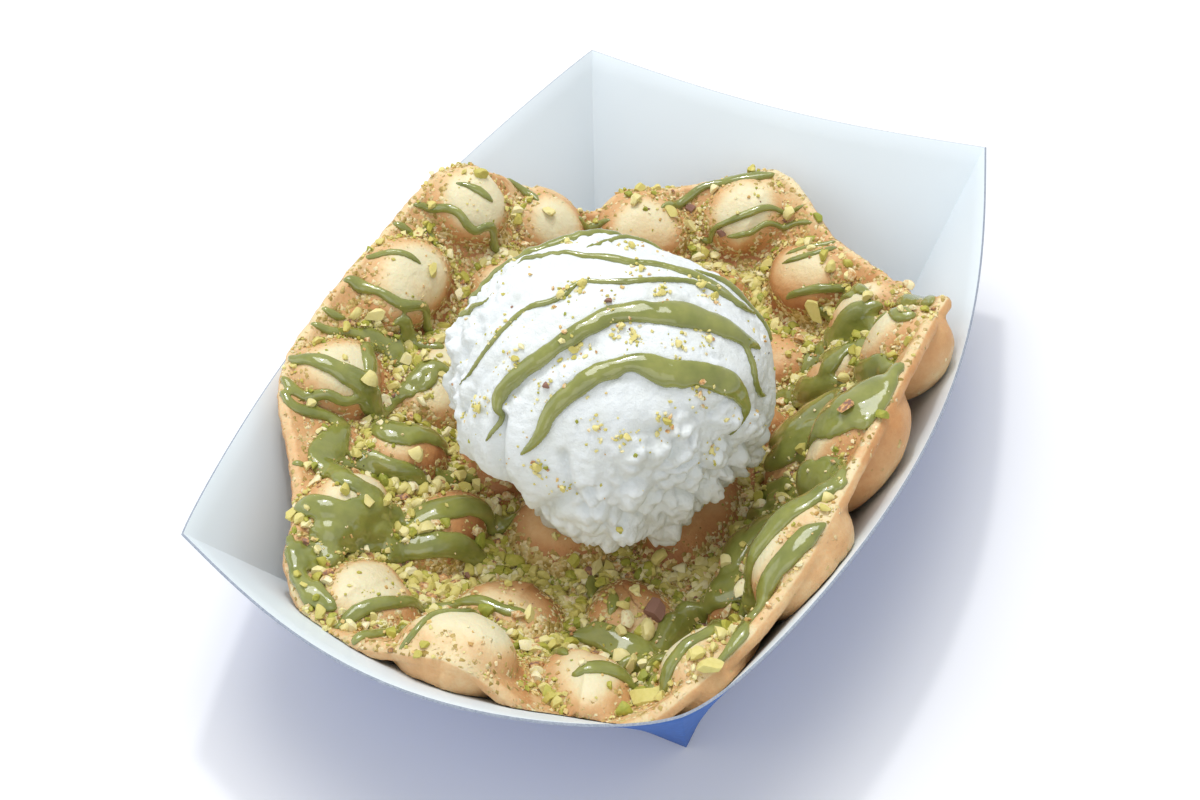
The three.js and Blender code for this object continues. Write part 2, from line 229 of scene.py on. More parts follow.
def pressed_depth(pressed, share, climb, half):
    """How far a wall is pressed round, if one of its ends is."""
    if pressed is None:
        return 0.0
    return CORNER_PRESSED * climb * np.exp(-np.abs(share - pressed) * 2 * half / CORNER_FADE)


def wall_point(wall, share, climb):
    """Points of a wall's outer face: share runs along it, climb from the floor (0) to the rim (1)."""
    along, out, floor_half, rim_half, floor_out, rim_out, bulge, dip, fullness, pressed = WALLS[wall]
    swell = np.sin(np.pi * np.clip(share, 0, 1)) ** fullness
    half = floor_half + (rim_half - floor_half) * climb
    depth = pressed_depth(pressed, share, climb, half)
    reach = floor_out + (rim_out + bulge * swell - floor_out) * climb - depth
    place = (2 * share - 1) * half + depth * (1 if pressed == 0 else -1)
    return np.stack([
        along[0] * place + out[0] * reach,
        along[1] * place + out[1] * reach,
        climb * (RIM_HEIGHT - dip * swell),
    ], axis=-1)


def keep_in_tray(points):
    """Presses points back inside the walls and off the floor. It goes round twice, for the corners."""
    points = points.copy()
    points[:, 2] = np.maximum(points[:, 2], FLOOR_GAP)
    for along, out, floor_half, rim_half, floor_out, rim_out, bulge, dip, fullness, pressed in WALLS * 2:
        place = points[:, 0] * along[0] + points[:, 1] * along[1]
        reach = points[:, 0] * out[0] + points[:, 1] * out[1]
        share = np.full(len(points), 0.5)
        for _ in range(4):
            swell = np.sin(np.pi * share) ** fullness
            climb = points[:, 2] / (RIM_HEIGHT - dip * swell)
            half = floor_half + (rim_half - floor_half) * climb
            share = np.clip((place + half) / (2 * half), 0, 1)
        swell = np.sin(np.pi * share) ** fullness
        depth = pressed_depth(pressed, share, climb, half)
        limit = floor_out + (rim_out + bulge * swell - floor_out) * climb - depth - WALL_GAP
        over = np.maximum(reach - limit, 0)
        points[:, 0] -= out[0] * over
        points[:, 1] -= out[1] * over
    return points


# --- the draped sheet ---

BUBBLES = np.array([
    (side * column * COLUMN_STEP, (i - (count - 1) / 2) * BUBBLE_STEP)
    for column, count in enumerate(COLUMN_COUNTS)
    for side in ((1,) if column == 0 else (-1, 1))
    for i in range(count)
    if (side * column, i - (count - 1) / 2) not in MISSING
])


def ring_curve(stations):
    """A smooth closed curve of values at bearings. Its tangents lean to the straighter neighbour."""
    table = np.array(sorted(stations), dtype=float)
    bearings, values = table[:, 0], table[:, 1:]
    count = len(table)
    span = (np.roll(bearings, -1) - bearings) % 360
    chord = (np.roll(values, -1, 0) - values) / span[:, None]
    before = np.roll(chord, 1, 0)
    bend_after = np.abs(np.roll(chord, -1, 0) - chord) + HAIR
    bend_before = np.abs(before - np.roll(chord, 2, 0)) + HAIR
    tangent = (bend_after * before + bend_before * chord) / (bend_after + bend_before)

    def at(bearing):
        i = (np.searchsorted(bearings, bearing, side="right") - 1) % count
        j = (i + 1) % count
        t = (((bearing - bearings[i]) % 360) / span[i])[:, None]
        leave = tangent[i] * span[i][:, None]
        arrive = tangent[j] * span[i][:, None]
        return (values[i] * (1 + 2 * t) * (1 - t) ** 2 + values[j] * t * t * (3 - 2 * t)
                + leave * t * (1 - t) ** 2 - arrive * t * t * (1 - t))

    return at


RIM_STATIONS = sorted(
    (math.degrees(math.atan2(place * BUBBLE_STEP, column * COLUMN_STEP)) % 360,
     math.hypot(place * BUBBLE_STEP, column * COLUMN_STEP), *seat)
    for column, place, *seat in RIM_SEATS
)
rim_seat = ring_curve([(bearing, *seat) for bearing, _, *seat in RIM_STATIONS])
run_out = ring_curve(RUN_OUT)


def rim_radius(bearing):
    """Radius of the ring through the outermost bubbles, straight between neighbours."""
    bearings = [station[0] for station in RIM_STATIONS]
    radii = [station[1] for station in RIM_STATIONS]
    return np.interp(bearing, bearings, radii, period=360)


def bearing_of(u, v):
    """Bearing on the flat sheet, from 0 to 360 degrees."""
    return np.degrees(np.arctan2(v, u)) % 360


def outline_radius(bearing):
    """How far out the sheet reaches: the batter's run-out, but always past the foot of a bubble."""
    du, dv = np.cos(np.radians(bearing)), np.sin(np.radians(bearing))
    reach = rim_radius(bearing) + run_out(bearing)[:, 0]
    lip = BUBBLE_RADIUS + EDGE_LIP
    for u, v in BUBBLES:
        ahead = u * du + v * dv
        aside = u * dv - v * du
        met = (ahead > 0) & (np.abs(aside) < lip)
        foot = ahead + np.sqrt(np.maximum(lip ** 2 - aside ** 2, 0))
        reach = np.where(met, np.maximum(reach, foot), reach)
    return reach


def sheet_point(u, v):
    """Where points of the flat sheet lie in the tray. Each spoke from the cup's centre keeps its length: it
    runs level, then bends up in a parabola to the seat of the rim."""
    along = np.hypot(u, v) + HAIR
    bearing = bearing_of(u, v)
    radius = rim_radius(bearing)
    x, y, z, slope = rim_seat(bearing).T
    dx, dy = x - CUP_CENTRE[0], y - CUP_CENTRE[1]
    plan = np.hypot(dx, dy)
    rise = z - SHEET_REST
    bent = plan * np.clip(2 * rise / (plan * np.tan(np.radians(slope))), 0.05, 0.98)
    level = plan - bent
    end_slope = 2 * rise / bent

    def arc(share):
        a = end_slope * share
        return bent / (2 * end_slope) * (a * np.sqrt(1 + a * a) + np.arcsinh(a))

    wanted = np.minimum(along / radius, 1) * (level + arc(1.0))
    share = np.clip((wanted - level) / bent, 0, 1)
    for _ in range(6):
        miss = arc(share) - (wanted - level)
        share = np.clip(share - miss / (bent * np.sqrt(1 + (end_slope * share) ** 2)), 0, 1)
    past = np.maximum(along - radius, 0) / np.sqrt(1 + end_slope ** 2)
    reach = np.minimum(wanted, level) + share * bent + past
    return np.stack([
        CUP_CENTRE[0] + dx / plan * reach,
        CUP_CENTRE[1] + dy / plan * reach,
        SHEET_REST + rise * share * share + past * end_slope,
    ], axis=-1)


def sheet_normal(u, v, step=0.6):
    """Upward normals of the draped sheet."""
    across = sheet_point(u + step, v) - sheet_point(u - step, v)
    along = sheet_point(u, v + step) - sheet_point(u, v - step)
    return unit(np.cross(across, along))


def nearest_bubble(u, v):
    """Number of the nearest bubble, and the distance to its middle."""
    away = np.hypot(u[:, None] - BUBBLES[:, 0], v[:, None] - BUBBLES[:, 1])
    return away.argmin(axis=1), away.min(axis=1)


def half_thickness(u, v):
    """Half the waffle's thickness, with no two bubbles quite alike, and how near its bubble's top a point is,
    from 0 to 1."""
    which, away = nearest_bubble(u, v)
    rng = np.random.default_rng(7)
    turn = rng.uniform(0, math.tau, (len(BUBBLES), 2))[which]
    size = rng.uniform(0.955, 1.0, len(BUBBLES))[which]
    tall = rng.uniform(0.93, 1.0, len(BUBBLES))[which]
    angle = np.arctan2(v - BUBBLES[which, 1], u - BUBBLES[which, 0])
    radius = BUBBLE_RADIUS * size * (
        1 + OVAL * np.sin(2 * angle + turn[:, 0]) + THREE_LOBED * np.sin(3 * angle + turn[:, 1]))
    share = away / radius
    dome = np.where(share < 1, BUBBLE_HEIGHT * tall * np.sqrt(np.maximum(1 - share ** DOME_FULLNESS, 0)), 0)
    blend = np.sqrt((dome - WEB_HALF) ** 2 + FILLET ** 2)
    half = np.minimum(0.5 * (dome + WEB_HALF + blend), BUBBLE_HEIGHT)
    return half, np.clip(1 - share, 0, 1)


def square_to_disc(x, y):
    """Maps the square from -1 to 1 evenly onto a disc: bearing in radians, and share of the way out."""
    wide = np.abs(x) > np.abs(y)
    share = np.where(wide, x, y)
    ratio = np.where(wide, y / np.where(x == 0, HAIR, x), x / np.where(y == 0, HAIR, y))
    angle = np.where(wide, math.pi / 4 * ratio, math.pi / 2 - math.pi / 4 * ratio)
    return np.where(share < 0, angle + math.pi, angle), np.abs(share)


# --- materials ---

def add_node(tree, kind, settings=None, links=None):
    """Adds one shader node with its settings, and links its inputs to outputs, or to a node's first output.
    Keys are names or numbers."""
    made = tree.nodes.new(kind)
    for key, value in (settings or {}).items():
        if key == "stops":
            while len(made.color_ramp.elements) < len(value):
                made.color_ramp.elements.new(0.5)
            for element, (position, colour) in zip(made.color_ramp.elements, value):
                element.position = position
                element.color = colour
        elif isinstance(key, str) and hasattr(made, key):
            setattr(made, key, value)
        else:
            made.inputs[key].default_value = value
    for key, source in (links or {}).items():
        output = source.outputs[0] if isinstance(source, bpy.types.Node) else source
        tree.links.new(output, made.inputs[key])
    return made


def new_material(name):
    """An empty node material, its tree, and the object coordinates that its patterns lie on."""
    material = bpy.data.materials.new(name)
    material.use_nodes = True
    tree = material.node_tree
    tree.nodes.clear()
    return material, tree, add_node(tree, "ShaderNodeTexCoord").outputs["Object"]


def grain_of(size, detail=3.0, rough=0.55):
    """Settings of a noise whose lumps are size millimetres."""
    return {"Scale": 1 / (size * MM), "Detail": detail, "Roughness": rough}


def baked_batter():
    """Egg waffle batter baked in a mould: a matt, finely pored skin, palest where a bubble rose off the
    hot iron, orange-tan on its flanks and deep brown on the web. Shade is painted in as well: darker in the
    bottom of the cup, on the low side of each bubble and round the scoop's foot."""
    material, tree, where = new_material("baked_egg_batter")
    crust = bpy.context.scene.waffle_crust
    bake = add_node(tree, "ShaderNodeAttribute", {"attribute_name": "bake"})
    # uneven browning, in patches of about 9 mm
    blotch = add_node(tree, "ShaderNodeTexNoise", grain_of(9.0, 5.0, 0.6), {"Vector": where})
    # pores and sugar spots of about 1 mm
    speckle = add_node(tree, "ShaderNodeTexNoise", grain_of(1.1, 2.0, 0.7), {"Vector": where})
    shifted = add_node(tree, "ShaderNodeMath", {"operation": "MULTIPLY_ADD", 1: 0.5},
                       {0: blotch, 2: bake.outputs["Fac"]})
    spotted = add_node(tree, "ShaderNodeMath", {"operation": "MULTIPLY_ADD", 1: 0.16},
                       {0: speckle, 2: shifted})
    level = add_node(tree, "ShaderNodeMath", {"operation": "SUBTRACT", 1: 0.33}, {0: spotted})
    # this ramp colours the browning and the painted shade alike
    colour = add_node(tree, "ShaderNodeValToRGB", {"stops": [
        (0.02, crust.crown_colour), (0.26, crust.shoulder_colour), (0.46, crust.flank_colour),
        (0.68, crust.web_colour), (0.95, crust.deep_colour),
    ]}, {"Fac": level})
    fine = add_node(tree, "ShaderNodeBump", {"Strength": 0.6, "Distance": 0.3 * MM}, {"Height": speckle})
    dimples = add_node(tree, "ShaderNodeTexNoise", grain_of(2.6), {"Vector": where})
    soft = add_node(tree, "ShaderNodeBump", {"Strength": 0.5, "Distance": 0.7 * MM},
                    {"Height": dimples, "Normal": fine})
    # nut meal that stuck to the crust: grains of about 1 mm, in drifts of about 3 mm
    coated = add_node(tree, "ShaderNodeAttribute", {"attribute_name": "coated"})
    grains = add_node(tree, "ShaderNodeTexVoronoi", {"Scale": 1 / MM}, {"Vector": where})
    lot = add_node(tree, "ShaderNodeSeparateColor", {}, {0: grains.outputs["Color"]})
    chance = add_node(tree, "ShaderNodeMath", {"operation": "MULTIPLY_ADD", 1: 0.6},
                      {0: lot, 2: coated.outputs["Fac"]})
    drift = add_node(tree, "ShaderNodeTexNoise", grain_of(3.0), {"Vector": where})
    drifts = add_node(tree, "ShaderNodeMath", {"operation": "ADD"}, {0: drift, 1: chance})
    stuck = add_node(tree, "ShaderNodeMapRange", {"From Min": 1.16, "From Max": 1.22}, {"Value": drifts})
    meal = add_node(tree, "ShaderNodeValToRGB", {"stops": MEAL_STOPS}, {"Fac": lot.outputs[1]})
    covered = add_node(tree, "ShaderNodeMix", {"data_type": "RGBA"}, {0: stuck, 6: colour, 7: meal})
    domed = add_node(tree, "ShaderNodeMath", {"operation": "SUBTRACT", 0: 1.0},
                     {1: grains.outputs["Distance"]})
    heaped = add_node(tree, "ShaderNodeMath", {"operation": "MULTIPLY"}, {0: domed, 1: stuck})
    rough = add_node(tree, "ShaderNodeBump", {"Strength": 0.8, "Distance": 0.7 * MM},
                     {"Height": heaped, "Normal": soft})
    shader = add_node(tree, "ShaderNodeBsdfPrincipled", {
        "Roughness": 0.5, "Specular IOR Level": 0.35, "Subsurface Weight": 0.18,
        "Subsurface Radius": (1.0, 0.5, 0.25), "Subsurface Scale": 2.2 * MM,
    }, {"Base Color": covered.outputs[2], "Normal": rough})
    add_node(tree, "ShaderNodeOutputMaterial", {}, {"Surface": shader})
    return material


def coated_board():
    """Bleached paper board with a thin food-safe coat: cool white, faintly fibrous, with a soft sheen."""
    material, tree, where = new_material("coated_white_board")
    inside = bpy.context.scene.waffle_tray.inside_colour
    paler = tuple(min(1.0, part * 1.035) for part in inside[:3]) + (1.0,)
    cloud = add_node(tree, "ShaderNodeTexNoise", grain_of(30.0, 2.0), {"Vector": where})
    colour = add_node(tree, "ShaderNodeMix", {"data_type": "RGBA", 6: inside[:], 7: paler}, {0: cloud})
    fibre = add_node(tree, "ShaderNodeTexNoise", grain_of(0.9, 4.0, 0.6), {"Vector": where})
    bump = add_node(tree, "ShaderNodeBump", {"Strength": 0.25, "Distance": 0.05 * MM}, {"Height": fibre})
    shader = add_node(tree, "ShaderNodeBsdfPrincipled", {"Roughness": 0.42, "Specular IOR Level": 0.45},
                      {"Base Color": colour.outputs[2], "Normal": bump})
    add_node(tree, "ShaderNodeOutputMaterial", {}, {"Surface": shader})
    return material


def printed_board():
    """The same board outside, printed one flat blue under a thin varnish, slightly worn."""
    material, tree, where = new_material("printed_blue_board")
    printed = bpy.context.scene.waffle_tray.outside_colour
    wear = add_node(tree, "ShaderNodeTexNoise", grain_of(2.2, 6.0, 0.7), {"Vector": where})
    colour = add_node(tree, "ShaderNodeValToRGB", {"stops": [
        (0.30, linear("#1c509c")), (0.55, printed), (0.80, linear("#3f74c2")),
    ]}, {"Fac": wear})
    shader = add_node(tree, "ShaderNodeBsdfPrincipled", {"Roughness": 0.5, "Specular IOR Level": 0.25},
                      {"Base Color": colour})
    add_node(tree, "ShaderNodeOutputMaterial", {}, {"Surface": shader})
    return material


def cut_board():
    """The board's die-cut edge: bare grey-white fibre, matt."""
    material, tree, where = new_material("cut_board_edge")
    fibre = add_node(tree, "ShaderNodeTexNoise", grain_of(0.5), {"Vector": where})
    colour = add_node(tree, "ShaderNodeValToRGB", {"stops": [
        (0.3, linear("#8791a2")), (0.7, linear("#aab3bf")),
    ]}, {"Fac": fibre})
    shader = add_node(tree, "ShaderNodeBsdfPrincipled", {"Roughness": 0.8, "Specular IOR Level": 0.2},
                      {"Base Color": colour})
    add_node(tree, "ShaderNodeOutputMaterial", {}, {"Surface": shader})
    return material


def whipped_cream():
    """Cold scooped cream: light sinks in and comes out soft, over a dull, finely crystalline skin."""
    material, tree, where = new_material("scooped_cream")
    cream = bpy.context.scene.waffle_cream
    cloud = add_node(tree, "ShaderNodeTexNoise", grain_of(9.0), {"Vector": where})
    colour = add_node(tree, "ShaderNodeValToRGB", {"stops": [
        (0.32, cream.hollow_colour), (0.55, cream.colour), (0.8, linear("#f1f6f8")),
    ]}, {"Fac": cloud})
    frost = add_node(tree, "ShaderNodeTexNoise", grain_of(1.7, 6.0, 0.68), {"Vector": where})
    bump = add_node(tree, "ShaderNodeBump", {"Strength": 1.0, "Distance": 0.6 * MM}, {"Height": frost})
    shader = add_node(tree, "ShaderNodeBsdfPrincipled", {
        "Roughness": 0.55, "Specular IOR Level": 0.4, "Subsurface Weight": 0.2,
        "Subsurface Radius": (1.0, 0.97, 0.92), "Subsurface Scale": 1.2 * MM,
    }, {"Base Color": colour, "Normal": bump})
    add_node(tree, "ShaderNodeOutputMaterial", {}, {"Surface": shader})
    return material


def nut_sauce():
    """Smooth pistachio sauce: thick, opaque and oily, so it holds a wet, sharp shine."""
    material, tree, where = new_material("green_nut_sauce")
    sauce = bpy.context.scene.waffle_sauce
    swirl = add_node(tree, "ShaderNodeTexNoise", grain_of(6.0), {"Vector": where})
    colour = add_node(tree, "ShaderNodeValToRGB", {"stops": [
        (0.30, sauce.deep_colour), (0.70, sauce.colour),
    ]}, {"Fac": swirl})
    ripple = add_node(tree, "ShaderNodeTexNoise", grain_of(2.4, 2.0), {"Vector": where})
    bump = add_node(tree, "ShaderNodeBump", {"Strength": 0.25, "Distance": 0.4 * MM}, {"Height": ripple})
    shader = add_node(tree, "ShaderNodeBsdfPrincipled", {
        "Roughness": 0.1, "Specular IOR Level": 0.6, "Coat Weight": 0.8, "Coat Roughness": 0.05,
        "Subsurface Weight": 0.2, "Subsurface Radius": (0.7, 1.0, 0.3), "Subsurface Scale": 1.5 * MM,
    }, {"Base Color": colour, "Normal": bump})
    add_node(tree, "ShaderNodeOutputMaterial", {}, {"Surface": shader})
    return material


# Colours of kernel from green to cream and on to its skin, of crumbs, of meal and of specks of skin.
NUT_STOPS = (
    (0.00, linear("#939a3c")), (0.12, linear("#b2ae49")), (0.30, linear("#cbc06a")),
    (0.52, linear("#dbcf84")), (0.74, linear("#e8dea2")), (0.88, linear("#efe7c0")),
    (0.96, linear("#cc9a5c")), (0.998, linear("#8e6a5c")),
)
CRUMB_STOPS = (
    (0.0, linear("#c39a5c")), (0.3, linear("#d4b070")), (0.6, linear("#e2c888")), (0.9, linear("#eddcae")),
)
MEAL_STOPS = (
    (0.1, linear("#a58b48")), (0.35, linear("#c2a763")), (0.6, linear("#d6bf82")), (0.9, linear("#ebdaae")),
)
SPECK_STOPS = ((0.2, linear("#2c2430")), (0.6, linear("#5e4450")), (0.9, linear("#9a6a4c")))


def chopped_nut(name, stops, roughness):
    """Dry broken kernel or crumb: matt and grainy. Each bit takes its own colour from its tint."""
    material, tree, where = new_material(name)
    tint = add_node(tree, "ShaderNodeAttribute", {"attribute_name": "tint"})
    mottle = add_node(tree, "ShaderNodeTexNoise", grain_of(1.0), {"Vector": where})
    shifted = add_node(tree, "ShaderNodeMath", {"operation": "MULTIPLY_ADD", 1: 0.3},
                       {0: mottle, 2: tint.outputs["Fac"]})
    level = add_node(tree, "ShaderNodeMath", {"operation": "SUBTRACT", 1: 0.15}, {0: shifted})
    colour = add_node(tree, "ShaderNodeValToRGB", {"stops": stops}, {"Fac": level})
    pits = add_node(tree, "ShaderNodeTexNoise", grain_of(0.6), {"Vector": where})
    bump = add_node(tree, "ShaderNodeBump", {"Strength": 0.5, "Distance": 0.2 * MM}, {"Height": pits})
    shader = add_node(tree, "ShaderNodeBsdfPrincipled", {
        "Roughness": roughness, "Specular IOR Level": 0.35, "Subsurface Weight": 0.15,
        "Subsurface Radius": (1.0, 0.9, 0.4), "Subsurface Scale": MM,
    }, {"Base Color": colour, "Normal": bump})
    add_node(tree, "ShaderNodeOutputMaterial", {}, {"Surface": shader})
    return material


def studio_floor():
    """A pale seamless paper floor."""
    material, tree, where = new_material("seamless_paper_floor")
    pale = bpy.context.scene.waffle_stage.floor_colour
    tone = add_node(tree, "ShaderNodeTexNoise", grain_of(60.0, 2.0), {"Vector": where})
    colour = add_node(tree, "ShaderNodeMix", {"data_type": "RGBA", 6: pale[:], 7: linear("#f7f8f9")},
                      {0: tone})
    shader = add_node(tree, "ShaderNodeBsdfPrincipled", {"Roughness": 0.9, "Specular IOR Level": 0.1},
                      {"Base Color": colour.outputs[2]})
    add_node(tree, "ShaderNodeOutputMaterial", {}, {"Surface": shader})
    return material


# --- pieces ---

def way_round(flat, share):
    """How far round the tray the corners of its base's edge lie: the wall's number and how far along it, or
    -1 inside the base."""
    right, back = flat[:, 0] > 1 - NEAR, flat[:, 1] > 1 - NEAR
    left, front = flat[:, 0] < NEAR - 1, flat[:, 1] < NEAR - 1
    return np.select([right, back, left, front],
                     [share[:, 1], 2 - share[:, 0], 3 - share[:, 1], 3 + share[:, 0]], -1.0)


def make_tray():
    """Folds the tray up from its flat base, row by row, then gives it the board's thickness."""
    deselect()
    bpy.ops.mesh.primitive_grid_add(x_subdivisions=END_STRIPS, y_subdivisions=SIDE_STRIPS, size=2)
    tray = bpy.context.object
    tray.name = tray.data.name = "paper_tray_board"
    flat = coordinates(tray) * MM
    spaced = np.sin(flat * math.pi / 2)     # closer together towards the corners
    floor = np.stack([spaced[:, 0] * FLOOR_HALF_WIDTH, spaced[:, 1] * FLOOR_HALF_LENGTH, flat[:, 2]], axis=-1)
    set_attribute(tray, "way", way_round(flat, (spaced + 1) / 2))
    set_coordinates(tray, floor)
    activate(tray)
    bpy.ops.object.mode_set(mode="EDIT")
    bpy.ops.mesh.select_mode(type="EDGE")
    bpy.ops.mesh.select_all(action="DESELECT")
    bpy.ops.mesh.select_non_manifold(extend=False)
    for row in range(1, WALL_ROWS + 1):
        bpy.ops.object.mode_set(mode="OBJECT")
        before = len(tray.data.vertices)
        bpy.ops.object.mode_set(mode="EDIT")
        bpy.ops.mesh.extrude_region()
        bpy.ops.object.mode_set(mode="OBJECT")
        points = coordinates(tray)
        ways = np.empty(len(points), dtype=np.float32)
        tray.data.attributes["way"].data.foreach_get("value", ways)
        for wall in range(4):
            mine = np.arange(len(points))[(np.arange(len(points)) >= before) & (np.floor(ways) % 4 == wall)]
            points[mine] = wall_point(wall, ways[mine] % 1, row / WALL_ROWS)
        set_coordinates(tray, points)
        bpy.ops.object.mode_set(mode="EDIT")
    bpy.ops.mesh.select_mode(type="VERT")
    bpy.ops.mesh.select_all(action="SELECT")
    bpy.ops.mesh.normals_make_consistent(inside=False)
    bpy.ops.object.mode_set(mode="OBJECT")
    settings = bpy.context.scene.waffle_tray
    finish_piece(tray, "board", [printed_board(), coated_board(), cut_board()], "paper_tray")
    apply_modifier(tray, "SOLIDIFY", thickness=settings.board, offset=-1, use_even_offset=True,
                   material_offset=1, material_offset_rim=2)
    apply_modifier(tray, "BEVEL", width=CUT_EDGE_BEVEL * MM, segments=2, limit_method="ANGLE",
                   angle_limit=math.radians(75))
    bpy.ops.object.shade_smooth_by_angle(angle=math.radians(28))
    tray.data.attributes.remove(tray.data.attributes["way"])


def sheet_net(flat):
    """Where the square net's corners lie on the flat sheet, with its outermost rings drawn close together,
    and how far in from the ragged outline."""
    angle, share = square_to_disc(flat[:, 0], flat[:, 1])
    bearing = np.degrees(angle) % 360
    outline = outline_radius(bearing)
    circle = np.stack([np.cos(angle), np.sin(angle), np.zeros_like(angle)], axis=-1)
    outline = outline + (0.5 * grain(circle * 100, 6, 3) + 0.3 * grain(circle * 100, 2, 4) - 0.4)
    rings = (1 - share) * SHEET_STEPS / 2
    inner = outline - EDGE_RINGS * EDGE_RING_STEP
    radius = np.where(rings < EDGE_RINGS, outline - rings * EDGE_RING_STEP,
                      inner * share * SHEET_STEPS / (SHEET_STEPS - 2 * EDGE_RINGS))
    return radius * np.cos(angle), radius * np.sin(angle), outline - radius


def make_waffle():
    """Draws the net of the sheet, extrudes it to two skins and raises the bubbles on both."""
    deselect()
    bpy.ops.mesh.primitive_grid_add(x_subdivisions=SHEET_STEPS, y_subdivisions=SHEET_STEPS, size=2)
    waffle = bpy.context.object
    waffle.name = waffle.data.name = "bubble_waffle_sheet"
    flat = coordinates(waffle) * MM
    bpy.ops.object.mode_set(mode="EDIT")
    bpy.ops.mesh.select_all(action="SELECT")
    bpy.ops.mesh.extrude_region()
    bpy.ops.object.mode_set(mode="OBJECT")
    u, v, inset = sheet_net(flat)
    middle, normal = sheet_point(u, v), sheet_normal(u, v)
    half, rise = half_thickness(u, v)
    # the edge is round: a quarter circle over half the web's thickness
    rounding = np.sqrt(np.clip(1 - (1 - np.clip(inset / WEB_HALF, 0, 1)) ** 2, 0.02, 1))
    relief = bpy.context.scene.waffle_crust.relief / MM
    flat_place = np.stack([u, v, np.zeros_like(u)], axis=-1)
    skins = []
    for side, seed in ((-1, 5), (1, 1)):
        # swellings, dents, and pores that fade towards the crowns
        crumbly = 0.5 * grain(flat_place, 9, seed) + 0.3 * grain(flat_place, 3.1, seed + 1)
        crumbly += 0.35 * grain(flat_place, 1.6, seed + 2) * (1 - smoothstep(0.0, 0.35, rise))
        thick = (half + relief * crumbly) * rounding
        skins.append(middle + side * normal * thick[:, None])
    points = keep_in_tray(np.concatenate(skins))
    low, high = box_of("waffle")
    set_coordinates(waffle, np.clip(points, low, high))
    store_bake_and_shade(waffle, u, v, rise, inset, middle)
    finish_piece(waffle, "waffle_crust", [baked_batter()], "waffle")
    activate(waffle)
    bpy.ops.object.shade_smooth()


# How brown the crust is, from 0 (pale) to 1, with painted shade added. The web's brownness, then what a crown
# has less of it, the painted shade that the bottom of the cup and the low side of a bubble have more of, and
# what the sheet's edge has less.
WEB_BAKE = 0.70
CROWN_LOSS = 0.66
CUP_SHADE = 0.1
LOW_SIDE_SHADE = 0.34
EDGE_LOSS = 0.12
UNDERSIDE_BAKE = 0.54
UNDERSIDE_CROWN_LOSS = 0.2
CUP_HEIGHTS = (14, 34)      # below the first the sheet is in the cup, and above the second out of it
# Places darker than the rest, seen from above, partly crust that baked browner and partly painted shade
# round the scoop's foot: x, y, reach and how much.
BROWNED_AND_SHADED = (
    (6, -64, 10, 0.35), (24, -52, 10, 0.4), (-19, -60, 9, 0.35), (-38, -46, 10, 0.4), (61, -49, 9, 0.3),
    (34, 54, 10, 0.25), (63, 15, 8, 0.2),
)
MEAL_EVERYWHERE = 0.2       # how thickly nut meal sticks to the web, and what each shower of nuts adds
MEAL_IN_SHOWER = 0.22


def store_bake_and_shade(waffle, u, v, rise, inset, middle):
    """How brown the crust is, with painted shade in the bottom of the cup, on each bubble's low side and
    round the scoop's foot, and how thickly nut meal coats it, for the lower and the upper skin.
    """
    which, _ = nearest_bubble(u, v)
    own = np.random.default_rng(11).uniform(-0.1, 0.1, len(BUBBLES))[which]
    x, y, height = middle.T
    crown_height = sheet_point(BUBBLES[:, 0], BUBBLES[:, 1])[which, 2]
    downhill = np.clip((crown_height - height) / BUBBLE_RADIUS, -1, 1)
    deep = 1 - smoothstep(*CUP_HEIGHTS, height)
    crown = smoothstep(0.03, 0.5, rise)
    # painted shade: deeper in the cup the crust is darker and its crowns less pale, and a bubble's low side
    # is darker
    upper = WEB_BAKE - CROWN_LOSS * crown * (1 - 0.5 * deep) + own + CUP_SHADE * deep + LOW_SIDE_SHADE * downhill
    upper -= EDGE_LOSS * (1 - smoothstep(0, 2.5, inset))
    # darker spots: browner crust, and painted shade near the scoop's foot
    for at_x, at_y, reach, more in BROWNED_AND_SHADED:
        upper += more * np.exp(-((x - at_x) ** 2 + (y - at_y) ** 2) / reach ** 2)
    lower = UNDERSIDE_BAKE - UNDERSIDE_CROWN_LOSS * crown + own
    set_attribute(waffle, "bake", np.clip(np.concatenate([lower, upper]), 0, 1))
    cover = np.full(len(u), MEAL_EVERYWHERE)
    for at_x, at_y, reach, more in NUT_SHOWERS:
        cover += MEAL_IN_SHOWER * more * np.exp(-((x - at_x) ** 2 + (y - at_y) ** 2) / reach ** 2)
    coated = cover * (1 - smoothstep(0.05, 0.4, rise)) - 0.3 * smoothstep(0.3, 0.5, rise)
    set_attribute(waffle, "coated", np.concatenate([np.zeros(len(u)), np.clip(coated, -0.3, 1)]))


def scoop_share(direction):
    """The scoop's smooth surface as a share of its reach, as the solid has it."""
    around = np.arctan2(direction[:, 1], direction[:, 0])
    elevation = np.arcsin(np.clip(direction[:, 2], -1, 1))
    flank = np.cos(elevation)
    share = np.ones(len(direction))
    for waves, climb, phase, height in LUMPS:
        share += height * np.sin(waves * around + climb * elevation + phase) * flank
    side = 0.6 + 0.4 * np.cos(around - SKIRT_TOWARDS)
    ragged = 0.7 + 0.3 * np.sin(SKIRT_RAGS * around + 1.3 * np.sin(4 * around))
    return share + SKIRT_OUT * side * ragged * np.exp(-(((elevation - SKIRT_ELEVATION) / SKIRT_SPREAD) ** 2))


def tree_of(*pieces):
    """A search tree over pieces, in millimetres. Of the waffle it takes the upper skin only."""
    points, faces = [], []
    for piece in pieces:
        start = len(points)
        points.extend(coordinates(piece).tolist())
        skip = len(piece.data.vertices) // 2 if piece.name == "bubble_waffle_sheet" else 0
        for polygon in piece.data.polygons:
            corners = list(polygon.vertices)
            if min(corners) >= skip:
                faces.append([start + corner for corner in corners])
    return BVHTree.FromPolygons(points, faces)


def heading(azimuth, elevation):
    """A direction from its azimuth (0 along +X, 90 along +Y) and elevation, in degrees."""
    turn, climb = np.radians(azimuth), np.radians(elevation)
    return np.stack([np.cos(turn) * np.cos(climb), np.sin(turn) * np.cos(climb), np.sin(climb)], axis=-1)


